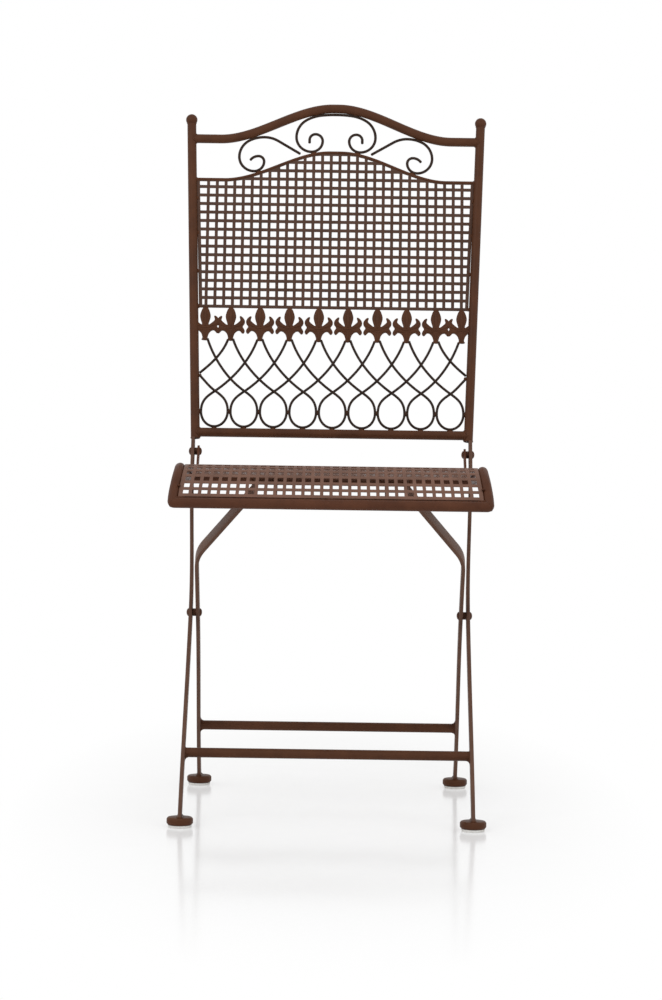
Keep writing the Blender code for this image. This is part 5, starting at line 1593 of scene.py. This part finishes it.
@dataclass
class Lattice(BackDetail):
    """Looped wires that cross below the ornaments, and the welds that join them.

    A wire runs from an ornament down to its loop's crossing, round the loop and up again.
    """

    crossing_slope: float = math.radians(35.0)
    top_slope: float = math.radians(71.0)
    end_slope: float = math.radians(45.0)
    side_slope: float = math.radians(39.0)
    loop_pulls: Pair = (1.4, 1.6)
    top_spread: float = 0.0036
    top_lift: float = 0.0004
    post_bite: float = 0.0004
    post_weld: Triple = (0.0024, 0.0028, 0.0026)
    post_weld_inset: float = 0.0006
    foot_weld: Triple = (0.0040, 0.0020, 0.0012)
    touch_weld: Triple = (0.0012, 0.0016, 0.0036)
    first_touch_weld: Triple = (0.0014, 0.0018, 0.0036)
    crossing_weld: Triple = (0.0016, 0.0016, 0.0014)

    def build(self) -> None:
        """Build the wires, from left to right, then the short ones at the sides."""
        size = self.sizes
        widest = self.chair.loop_widest
        for number in range(size.loops):
            x = (number - (size.loops - 1) / 2) * self.chair.loop_pitch
            flat, layers = self.wire(number, x)
            self.add_wire(f"loop_wire_{number + 1:02d}", f"lattice_wire_{number + 1:02d}", flat, layers)
            foot = self.chair.loop_foot - size.lattice_rod
            self.frame.weld_lump(self.chair.back(x, foot), self.foot_weld)
            self.frame.weld_lump(self.chair.back(x + self.chair.loop_pitch / 2, widest), self.touch_weld)
            self.frame.weld_lump(self.chair.back(x, self.chair.loop_crossing), self.crossing_weld)
        first = self.chair.back(-size.loops / 2 * self.chair.loop_pitch, widest)
        self.frame.weld_lump(first, self.first_touch_weld)
        for side, sign in SIDES.items():
            flat = self.side_wire(sign)
            self.add_wire(f"side_wire_{side}", f"lattice_side_wire_{side}", flat, sign * size.lattice_rod)

    def add_wire(self, name: str, node: str, flat: Array, layers: Number) -> None:
        """Make a wire of points in the back's plane and their distance out of it."""
        shape = tube(self.chair.back(*flat.T, layers), self.sizes.lattice_rod, self.chair.out, 14)
        # The wire paint's darkness is painted shade on the thin wires.
        self.frame.add(name, shape, node, slot=Slot.WIRE, finish=WIRE_SHADED_PAINT)

    def run(self, foot: Pair, top: Pair, sign: float, slopes: Pair, count: int) -> Array:
        """Run of a wire with a slope at its foot and one at its top, to the right where sign is 1."""
        pulls = math.dist(foot, top) * np.stack([sign * np.cos(slopes), np.sin(slopes)], axis=1)
        return hermite(foot, top, *pulls, count)

    def loop_half(self) -> tuple[Array, Array]:
        """Right half of a loop: a cubic from its crossing to its widest point, then a quarter oval.

        Returns:
            The points from the crossing to the foot, and each one's distance out of the plane.
        """
        size = self.sizes
        half_width = (self.chair.loop_pitch - size.gap) / 2 - size.lattice_rod
        widest = self.chair.loop_widest
        crossing = self.chair.loop_crossing
        rise = crossing - widest
        first, last = self.loop_pulls
        leave = (first * rise * math.cos(self.crossing_slope), -first * rise * math.sin(self.crossing_slope))
        upper = hermite((0.0, crossing), (half_width, widest), leave, (0.0, -last * rise), 22)
        turns = np.linspace(0.0, QUARTER_TURN, 14)[1:]
        drop = size.loop_widest_rise * np.sin(turns)
        lower = np.column_stack([half_width * np.cos(turns), widest - drop])
        flat = np.vstack([upper, lower])
        return flat, size.lattice_rod * smoothstep((flat[:, 1] - widest) / rise)

    def wire(self, number: int, x: float) -> tuple[Array, Array]:
        """Path of a looped wire, and the weld at a post where it ends there.

        Args:
            number: Number of its loop, from 0.
            x: Distance of the loop from the middle.

        Returns:
            The points, and each one's distance out of the plane.
        """
        places = self.chair.fleur_places
        crossing = self.chair.loop_crossing
        arms = {}
        for sign, target in ((-1.0, number - 1), (1.0, number + 2)):
            if 0 <= target < len(places):
                top = (places[target] - sign * self.top_spread, self.sizes.fleur_base + self.top_lift)
                arms[sign] = self.run((x, crossing), top, sign, (self.crossing_slope, self.top_slope), 26)
            else:
                face, rise = self.post_end(x)
                top = (sign * face, crossing + rise)
                arms[sign] = self.run((x, crossing), top, sign, (self.crossing_slope, self.end_slope), 10)
                spot = self.chair.back(sign * (face - self.post_weld_inset), crossing + rise)
                self.frame.weld_lump(spot, self.post_weld)
        half, layer = self.loop_half()
        left, right = arms[-1.0][1:], arms[1.0][1:]
        flat = np.vstack([left[::-1], half + (x, 0.0), (half * MIRROR + (x, 0.0))[::-1][1:], right])
        rod = self.sizes.lattice_rod
        layers = np.concatenate([np.full(len(left), rod), layer, -layer[::-1][1:], np.full(len(right), -rod)])
        return flat, layers

    def post_end(self, x: float) -> Pair:
        """Half distance between the posts at a wire's end, and the wire's rise to it from a loop."""
        face = self.chair.post_face_x(self.chair.loop_crossing) + self.post_bite
        return face, (face - abs(x)) * math.tan(self.end_slope)

    def side_wire(self, sign: float) -> Array:
        """Path of the short wire from a post up to the last ornament but one.

        Args:
            sign: Sign of the post's x.

        Returns:
            The points.
        """
        size = self.sizes
        fleur = self.chair.fleur_places[-2 if sign > 0 else 1]
        face, rise = self.post_end((size.loops - 1) / 2 * self.chair.loop_pitch)
        foot = (sign * face, self.chair.loop_crossing + rise + 2 * size.lattice_rod)
        top = (fleur + sign * self.top_spread, size.fleur_base + self.top_lift)
        return self.run(foot, top, -sign, (self.side_slope, self.top_slope), 26)


@dataclass
class RearLegs(LegFrame):
    """Rear leg frame: bent bars, the rod that carries the seat, and the stretcher."""

    body = Body.REAR_LEGS

    rod_overhang: float = 0.005
    rod_rounding: float = 0.35
    rod_weld_radius: float = 0.0009
    tip_turn: float = math.radians(78.0)

    def build(self) -> None:
        """Build all pieces of the rear leg frame."""
        self.bars()
        self.rod()
        size = self.sizes
        leg = (size.rear_foot_x, size.rear_cross_x)
        self.stretcher("rear", leg, size.rear_lean, size.rear_stretcher_z, webs=(-1.0, 1.0))
        self.finish_welds("rear_leg_welds")

    def bars(self) -> None:
        """Rear leg bars with their feet, and beads where the rod passes through them."""
        size = self.sizes
        lean = size.rear_lean
        xs, reach, widths = self.bar_line()
        ys = size.cross_y - math.sin(lean) * reach
        zs = size.cross_z + math.cos(lean) * reach
        across = np.tile(np.array([0.0, math.cos(lean), math.sin(lean)]), (len(xs), 1))
        across[0] = BACKWARD
        widths[0] = size.bar_half_width / math.cos(lean)
        for side, sign in SIDES.items():
            shape = rounded_bar(self.chair.point(sign * xs, ys, zs), across, widths, size.bar_half_thickness)
            self.add(f"rear_bar_{side}", shape, f"rear_leg_bar_{side}", finish=LEG_PAINT)
            self.foot("rear", side, self.chair.point(sign * size.rear_foot_x, size.foot_span, 0.0), lean)
            rod_end = self.chair.point(sign * size.rear_top_x, size.rod_y, size.rod_z)
            for face in (-1.0, 1.0):
                shift = face * (size.bar_half_thickness + self.end_weld_inset) * ACROSS
                self.ring_on_bar(rod_end + shift, size.rod, self.rod_weld_radius)

    def rod(self) -> None:
        """Level rod that carries the seat."""
        size = self.sizes
        half = size.rear_top_x + self.rod_overhang
        path = self.chair.point(np.linspace(-half, half, 7), size.rod_y, size.rod_z)
        self.add("support_rod", tube(path, size.rod, BACKWARD, 24, self.rod_rounding), "seat_support_rod")

    def bar_line(self) -> tuple[Array, Array, Array]:
        """Stations of a rear bar: up to the crossing, an arc inwards, an arc back, and a round tip.

        Returns:
            Half distance, distance along the leg from the crossing, and half width at each.
        """
        size = self.sizes
        cosine = math.cos(size.rear_lean)
        start = (size.foot_top + self.bar_lift - size.cross_z) / cosine
        low_reach = np.linspace(start, 0.0, 24)
        low_x = size.leg_x(size.rear_foot_x, size.rear_cross_x, size.cross_z + low_reach * cosine)
        top = (size.rod_z - size.cross_z) / cosine
        tangent = size.rear_bend_radius * math.tan(size.rear_bend / 2)
        top_tangent = size.rear_top_radius * math.tan(size.rear_bend / 2)
        upper = top - size.rear_flange - top_tangent
        lower = upper - (size.rear_cross_x - size.rear_top_x) / math.tan(size.rear_bend)
        first = np.linspace(0.0, size.rear_bend, 14)
        second = np.linspace(size.rear_bend, 0.0, 9)
        bend_x = size.rear_cross_x - size.rear_bend_radius * (1.0 - np.cos(first))
        bend_reach = lower - tangent + size.rear_bend_radius * np.sin(first)
        top_x = size.rear_top_x + size.rear_top_radius * (1.0 - np.cos(second))
        top_reach = upper + top_tangent - size.rear_top_radius * np.sin(second)
        tip = np.linspace(0.0, self.tip_turn, 9)
        tip_reach = top + size.rear_end_radius * np.sin(tip)
        xs = np.concatenate([low_x, bend_x, top_x, np.full(len(tip), size.rear_top_x)])
        reach = np.concatenate([low_reach, bend_reach, top_reach, tip_reach])
        widths = np.full(len(xs), size.bar_half_width)
        widths[-len(tip):] = size.rear_end_radius * np.cos(tip)
        return xs, reach, widths


@dataclass
class Seat(Assembly):
    """Seat: mitred frame, full net, hinge ears and notched plates."""

    body = Body.SEAT

    corner_steps: tuple[float, ...] = (0.0, 0.001, 0.002, 0.0035, 0.005, 0.007, 0.010)
    corner_round: float = 0.0095
    seam_weld: Pair = (0.0003, 0.0007)
    net_lift: float = 0.0015
    net_gap: float = 0.0015
    net_border: float = 0.0055
    net_strip: float = 0.0045
    net_columns: int = 33
    net_rows: int = 29
    net_thickness: float = 0.0015
    tie_inset: float = 0.0012
    tie_edge: float = 0.002
    tie_row: float = 0.020
    end_tie: Triple = (0.0055, 0.0020, 0.0013)
    side_tie: Triple = (0.0020, 0.0055, 0.0013)
    lip_bite: float = 0.0003
    lip_width: float = 0.0045
    lip_thickness: float = 0.0010
    plate_soft_width: float = 0.0005
    plate_weld: Pair = (0.0003, 0.0011)
    ear_weld_turns: Pair = (-0.85, 0.85)
    ear_weld_face: float = 0.0019
    hook_weld_turns: Pair = (-0.45, 0.90)
    hook_weld_face: float = 0.0024

    def build(self) -> None:
        """Build all pieces of the seat."""
        self.side_tubes()
        self.end_tubes()
        self.net()
        self.lip()
        self.plates()
        self.finish_welds("seat_welds", Slot.SEAT, SEAT_PAINT)

    def add_tube(self, name: str, node: str, path: Array, reference: Array, inward: Array) -> None:
        """Make a mitred tube of the frame, along a path with the corner steps at both ends."""
        shape = self.mitred(tube(path, self.sizes.seat_tube, reference, 28), path, inward)
        self.add(name, shape, node, slot=Slot.SEAT, finish=SEAT_PAINT)

    def side_tubes(self) -> None:
        """Side rails, with close stations at their corners and along their bend."""
        size = self.sizes
        near = np.array(self.corner_steps)
        runs = np.concatenate([near, np.linspace(near[-1], size.seat_front_run, 5)[1:],
                               np.linspace(size.seat_front_run, size.seat_arc_end, 36)[1:],
                               np.linspace(size.seat_arc_end, size.seat_length - near[-1], 12)[1:-1],
                               size.seat_length - near[::-1]])
        for side, sign in SIDES.items():
            path = self.chair.seat(sign * size.seat_rail_x, runs)
            self.add_tube(f"seat_side_{side}", f"seat_rail_{side}", path, ACROSS, -sign * ACROSS)

    def end_tubes(self) -> None:
        """Front and rear rails, with the beads along the seams of their mitres."""
        size = self.sizes
        near = np.array(self.corner_steps)
        half = size.seat_rail_x
        xs = np.concatenate([near - half, np.linspace(near[-1] - half, half - near[-1], 9)[1:-1],
                             half - near[::-1]])
        ends = (("front", 0.0, size.seat_front_slope, 1.0),
                ("rear", size.seat_length, -size.seat_rear_slope, -1.0))
        for label, run, slope, sense in ends:
            inward = np.array([0.0, math.cos(slope), math.sin(slope)]) * sense
            path = self.chair.seat(xs, run)
            self.add_tube(f"seat_{label}_tube", f"seat_{label}_rail", path,
                          unit(np.cross(inward, ACROSS)), inward)
            for sign in SIDES.values():
                self.mitre_bead(self.chair.seat(sign * half, run), -sign * ACROSS, inward)

    def mitred(self, shape: Shape, path: Array, inward: Array) -> Shape:
        """Bring a tube's end rings onto the planes that halve its corners, rounded on the outside.

        A point at a distance outwards moves as far beyond the end, less by its ring's step back.

        Args:
            shape: The tube, ring by ring.
            path: Its axis, with the corner steps at both ends.
            inward: Direction of the other tubes, seen from this one.

        Returns:
            The tube with mitred ends.
        """
        rings = shape.vertices.reshape(len(path), -1, 3).copy()
        along = directions(path)
        for step in (1, -1):
            end = 0 if step == 1 else -1
            way = -step * along[end]
            for number, back in enumerate(self.corner_steps):
                index = number if step == 1 else -1 - number
                outer = -(rings[index] - path[index]) @ inward
                beyond = outer * (1.0 - back / self.corner_steps[-1]) - back
                outer_new, beyond_new = self.rounded_corner(outer, beyond)
                rings[index] += np.outer(beyond_new + back, way) - np.outer(outer_new - outer, inward)
        return Shape(rings.reshape(-1, 3), shape.faces)

    def rounded_corner(self, outer: Array, beyond: Array) -> tuple[Array, Array]:
        """Move places of a mitred corner onto its rounded outside: an eighth of a circle.

        Args:
            outer: Distances outwards from the tube's axis.
            beyond: Distances beyond the axes' crossing.

        Returns:
            The two distances on the rounded corner.
        """
        straight = self.sizes.seat_tube - self.corner_round
        bent = (outer > straight) & (beyond > straight)
        spread = np.where(bent, outer - straight, 1.0)
        turn = math.pi / 4 * np.clip((beyond - straight) / spread, 0.0, 1.0)
        return (np.where(bent, straight + spread * np.cos(turn), outer),
                np.where(bent, straight + spread * np.sin(turn), beyond))

    def mitre_bead(self, corner: Array, first: Array, second: Array) -> None:
        """Thin bead along a mitred corner's seam: an oval in the plane that halves the corner.

        Args:
            corner: Crossing of the two axes.
            first: Direction of one tube.
            second: Direction of the other.
        """
        inset, thickness = self.seam_weld
        radius = self.sizes.seat_tube - inset
        seam = unit(first + second)
        normal = unit(np.cross(first, second))
        turn = round_turns(52)
        outer, _ = self.rounded_corner(-radius * np.cos(turn), -radius * np.cos(turn))
        path = corner - outer[:, None] * seam * math.sqrt(2.0) + np.sin(turn)[:, None] * normal * radius
        self.weld_bead(path, thickness, unit(first - second))

    def face_inset(self, rise: float) -> float:
        """Distance of a tube's inner face from its axis at a rise above it, by the circle."""
        return math.sqrt(self.sizes.seat_tube ** 2 - rise ** 2)

    def strips(self, first: float, last: float, count: int) -> Array:
        """Both edges of every strip of the net, the first and last of which are its border."""
        widths = np.array([self.net_border, *[self.net_strip] * (count - 2), self.net_border])
        return both_edges(np.linspace(first + widths[0] / 2, last - widths[-1] / 2, count), widths)

    def net(self) -> None:
        """Square net of the seat with its border strips, tied to the frame by welded tabs."""
        size = self.sizes
        rise = size.seat_net_rise + self.net_lift
        margin = self.face_inset(rise) + self.net_gap
        half = size.seat_rail_x - margin
        last = size.seat_length - margin
        grid_x, grid_run = np.meshgrid(self.strips(-half, half, self.net_columns),
                                       self.strips(margin, last, self.net_rows))
        self.add_net("seat_mesh", grid_x, grid_run, lambda x, run: self.chair.seat(x, run, rise),
                     self.net_thickness, ("seat_net_front", "seat_net_middle", "seat_net_rear"),
                     Slot.SEAT, SEAT_NET_PAINT)
        tie = margin - self.tie_inset
        for x in (-half + self.tie_edge, 0.0, half - self.tie_edge):
            for run in (tie, size.seat_length - tie):
                self.weld_lump(self.chair.seat(x, run, rise), self.end_tie)
        for sign in SIDES.values():
            for run in (margin + self.tie_row, size.seat_length / 2, last - self.tie_row):
                self.weld_lump(self.chair.seat(sign * (size.seat_rail_x - tie), run, rise), self.side_tie)

    def lip(self) -> None:
        """Thin strip on the inside of the seat's tubes, below the net's border."""
        size = self.sizes
        inset = self.face_inset(size.seat_net_rise) - self.lip_bite
        width = self.lip_width
        half = size.seat_rail_x - inset
        last = size.seat_length - inset
        xs = np.array([-half, width - half, half - width, half])
        runs = np.concatenate([[inset], np.linspace(inset + width, last - width, 60), [last]])
        grid_x, grid_run = np.meshgrid(xs, runs)
        kept = np.ones((len(runs) - 1, len(xs) - 1), dtype=bool)
        kept[1:-1, 1] = False
        shape = Shape.sheet(self.chair.seat(grid_x, grid_run, size.seat_net_rise), kept)
        item = self.add("seat_net_lip", shape, slot=Slot.SEAT, finish=SEAT_PAINT, sharp=SHARP_SHEET_BEND)
        self.shop.thicken(item, self.lip_thickness, even=False)

    def plates(self) -> None:
        """Paint the CAD's ears and notched plates, soften their edges and weld them to the tubes."""
        size = self.sizes
        rear = self.chair.seat(0.0, size.seat_length)
        pivot = self.chair.point(0.0, size.seat_pivot_y, size.seat_pivot_z)
        toward = unit(pivot - rear)
        front = self.chair.seat(0.0, 0.0)
        ear_x = size.back_bar_x - size.bar_half_thickness - size.ear_gap - size.ear_thickness / 2
        for side, sign in SIDES.items():
            for name in (f"seat_ear_{side}", f"seat_hook_{side}"):
                item = self.shop.paint(name, SEAT_PAINT)
                self.shop.soften(item, self.plate_soft_width, segments=2)
            self.plate_beads(rear, (toward, np.cross(ACROSS, toward)), np.linspace(*self.ear_weld_turns, 14),
                             sign * ear_x, self.ear_weld_face)
            self.plate_beads(front, (BACKWARD, UPWARD), np.linspace(*self.hook_weld_turns, 12),
                             sign * size.hook_x, self.hook_weld_face)

    def plate_beads(self, centre: Array, ways: tuple[Array, Array], turns: Array, x: float,
                    face: float) -> None:
        """Beads round a tube where a plate stands on it, one at each face of the plate.

        Args:
            centre: Point of the tube's axis.
            ways: Directions of the turns' cosine and sine.
            turns: Angles from the beads' start to their end.
            x: Distance of the plate from the middle.
            face: Distance of each bead from the plate's middle.
        """
        lift, radius = self.plate_weld
        ring = np.cos(turns)[:, None] * ways[0] + np.sin(turns)[:, None] * ways[1]
        arc = centre + (self.sizes.seat_tube + lift) * ring
        for shift in (-face, face):
            self.weld_bead(arc + (x + shift) * ACROSS, radius, ACROSS, closed=False)


@dataclass(frozen=True)
class Studio:
    """Pale floor, soft light and the photograph's camera. The origin is centre_y behind the feet."""

    centre_y: float
    image_width: int = 662
    image_height: int = 1000
    focal_pixels: float = 3347.0
    sensor: float = 36.0
    distance: float = 4.4
    eye_height: float = 0.6545
    horizon_row: float = 331.2
    centre_column: float = 333.3
    roll: float = math.radians(-0.80)
    far_end: float = 60.0
    world_strength: float = 0.80
    lamps: tuple[tuple[str, Triple, float, float], ...] = (
        ("key_light", (-1.8, -2.4, 2.8), 1.8, 30.0), ("fill_light", (2.4, -1.6, 1.8), 2.0, 12.0))
    aim: Triple = (0.0, 0.0, 0.5)
    floor_reach: float = 30.0
    floor_cloud_scale: float = 3.0
    floor_colours: tuple[Triple, Triple] = ((0.90, 0.90, 0.90), (0.94, 0.94, 0.94))
    floor_roughness: Pair = (0.11, 0.17)
    floor_specular: float = 0.60
    oval_shape: Triple = (1.0, 0.35, 1.0)
    oval_radii: Pair = (0.22, 0.44)
    oval_white: Pair = (0.36, 1.0)

    def camera(self) -> None:
        """Place the camera at the photograph's eye point."""
        data = bpy.data.cameras.new("photo_camera")
        data.sensor_fit = "VERTICAL"
        data.sensor_height = self.sensor
        data.lens = self.focal_pixels / self.image_height * self.sensor
        data.shift_y = (self.horizon_row - self.image_height / 2) / self.image_height
        data.shift_x = (self.image_width / 2 - self.centre_column) / self.image_height
        data.clip_end = self.far_end
        item = bpy.data.objects.new("photo_camera", data)
        item.location = (0.0, -self.distance - self.centre_y, self.eye_height)
        item.rotation_euler = (QUARTER_TURN, self.roll, 0.0)
        bpy.context.scene.collection.objects.link(item)
        bpy.context.scene.camera = item

    def world(self) -> None:
        """White surroundings for the camera and reflections, and a plain level of light."""
        world = bpy.data.worlds.new("studio")
        graph = NodeGraph(world)
        light = graph.white_light("ShaderNodeBackground", self.world_strength)
        seen = graph.white_light("ShaderNodeBackground", 1.0)
        graph.add("ShaderNodeOutputWorld", {"Surface": graph.blend(graph.seen_rays(), light, seen)})
        bpy.context.scene.world = world

    def floor(self) -> None:
        """Pale floor with shadows and a faint reflection inside an oval, that is white beyond it."""
        reach = self.floor_reach
        corners = [(-reach, -reach, 0.0), (reach, -reach, 0.0), (reach, reach, 0.0), (-reach, reach, 0.0)]
        mesh = bpy.data.meshes.new("floor")
        mesh.from_pydata(corners, [], [(0, 1, 2, 3)])
        item = bpy.data.objects.new("floor", mesh)
        bpy.context.scene.collection.objects.link(item)
        material = bpy.data.materials.new("pale_floor")
        graph = NodeGraph(material)
        place = graph.place()
        cloud = graph.noise(place, self.floor_cloud_scale, detail=4.0, roughness=0.6)
        colour = graph.mix(graph.remap(cloud, 0.3, 0.7), *self.floor_colours)
        rough = graph.remap(cloud, 0.3, 0.7, *self.floor_roughness)
        shader = graph.surface(colour, rough, self.floor_specular)
        oval = graph.add("ShaderNodeVectorMath", {0: place, 1: self.oval_shape}, "MULTIPLY")
        away = graph.add("ShaderNodeVectorMath", {0: oval.outputs["Vector"]}, "LENGTH")
        white = graph.remap(away.outputs["Value"], *self.oval_radii, *self.oval_white)
        share = graph.math("MULTIPLY", graph.seen_rays(), white)
        glow = graph.white_light("ShaderNodeEmission", 1.0)
        graph.add(MATERIAL_OUTPUT, {"Surface": graph.blend(share, shader, glow)})
        mesh.materials.append(material)

    def lamp(self, name: str, place: Triple, size: float, power: float) -> None:
        """Add a soft square lamp that looks at the chair's middle.

        Args:
            name: Name of the lamp.
            place: Its place.
            size: Length of its sides.
            power: Its power in watts.
        """
        data = bpy.data.lights.new(name, "AREA")
        data.shape = "SQUARE"
        data.size = size
        data.energy = power
        item = bpy.data.objects.new(name, data)
        item.location = place
        toward = np.array(self.aim) - np.array(place)
        flat = math.hypot(toward[0], toward[1])
        item.rotation_euler = (math.atan2(flat, -toward[2]), 0.0, math.atan2(-toward[0], toward[1]))
        bpy.context.scene.collection.objects.link(item)

    def build(self) -> None:
        """Build the whole studio."""
        self.camera()
        self.world()
        self.floor()
        for lamp in self.lamps:
            self.lamp(*lamp)
        bpy.context.scene.view_settings.view_transform = "Standard"


def main() -> None:
    """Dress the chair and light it."""
    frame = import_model()
    sizes = ChairSizes()
    hinges = {joint["name"]: joint["pos_m"] for joint in frame["joints"]}
    chair = Chair(sizes, sizes.seat_pivot_y - hinges["seat_fold"][1])
    shop = Workshop(chair, frame["nodes"])
    for assembly in (BackFrame, RearLegs, Seat):
        assembly(shop).build()
    Studio(chair.centre_y).build()
    log.info("%d pieces", shop.count)


if __name__ == "__main__":
    main()
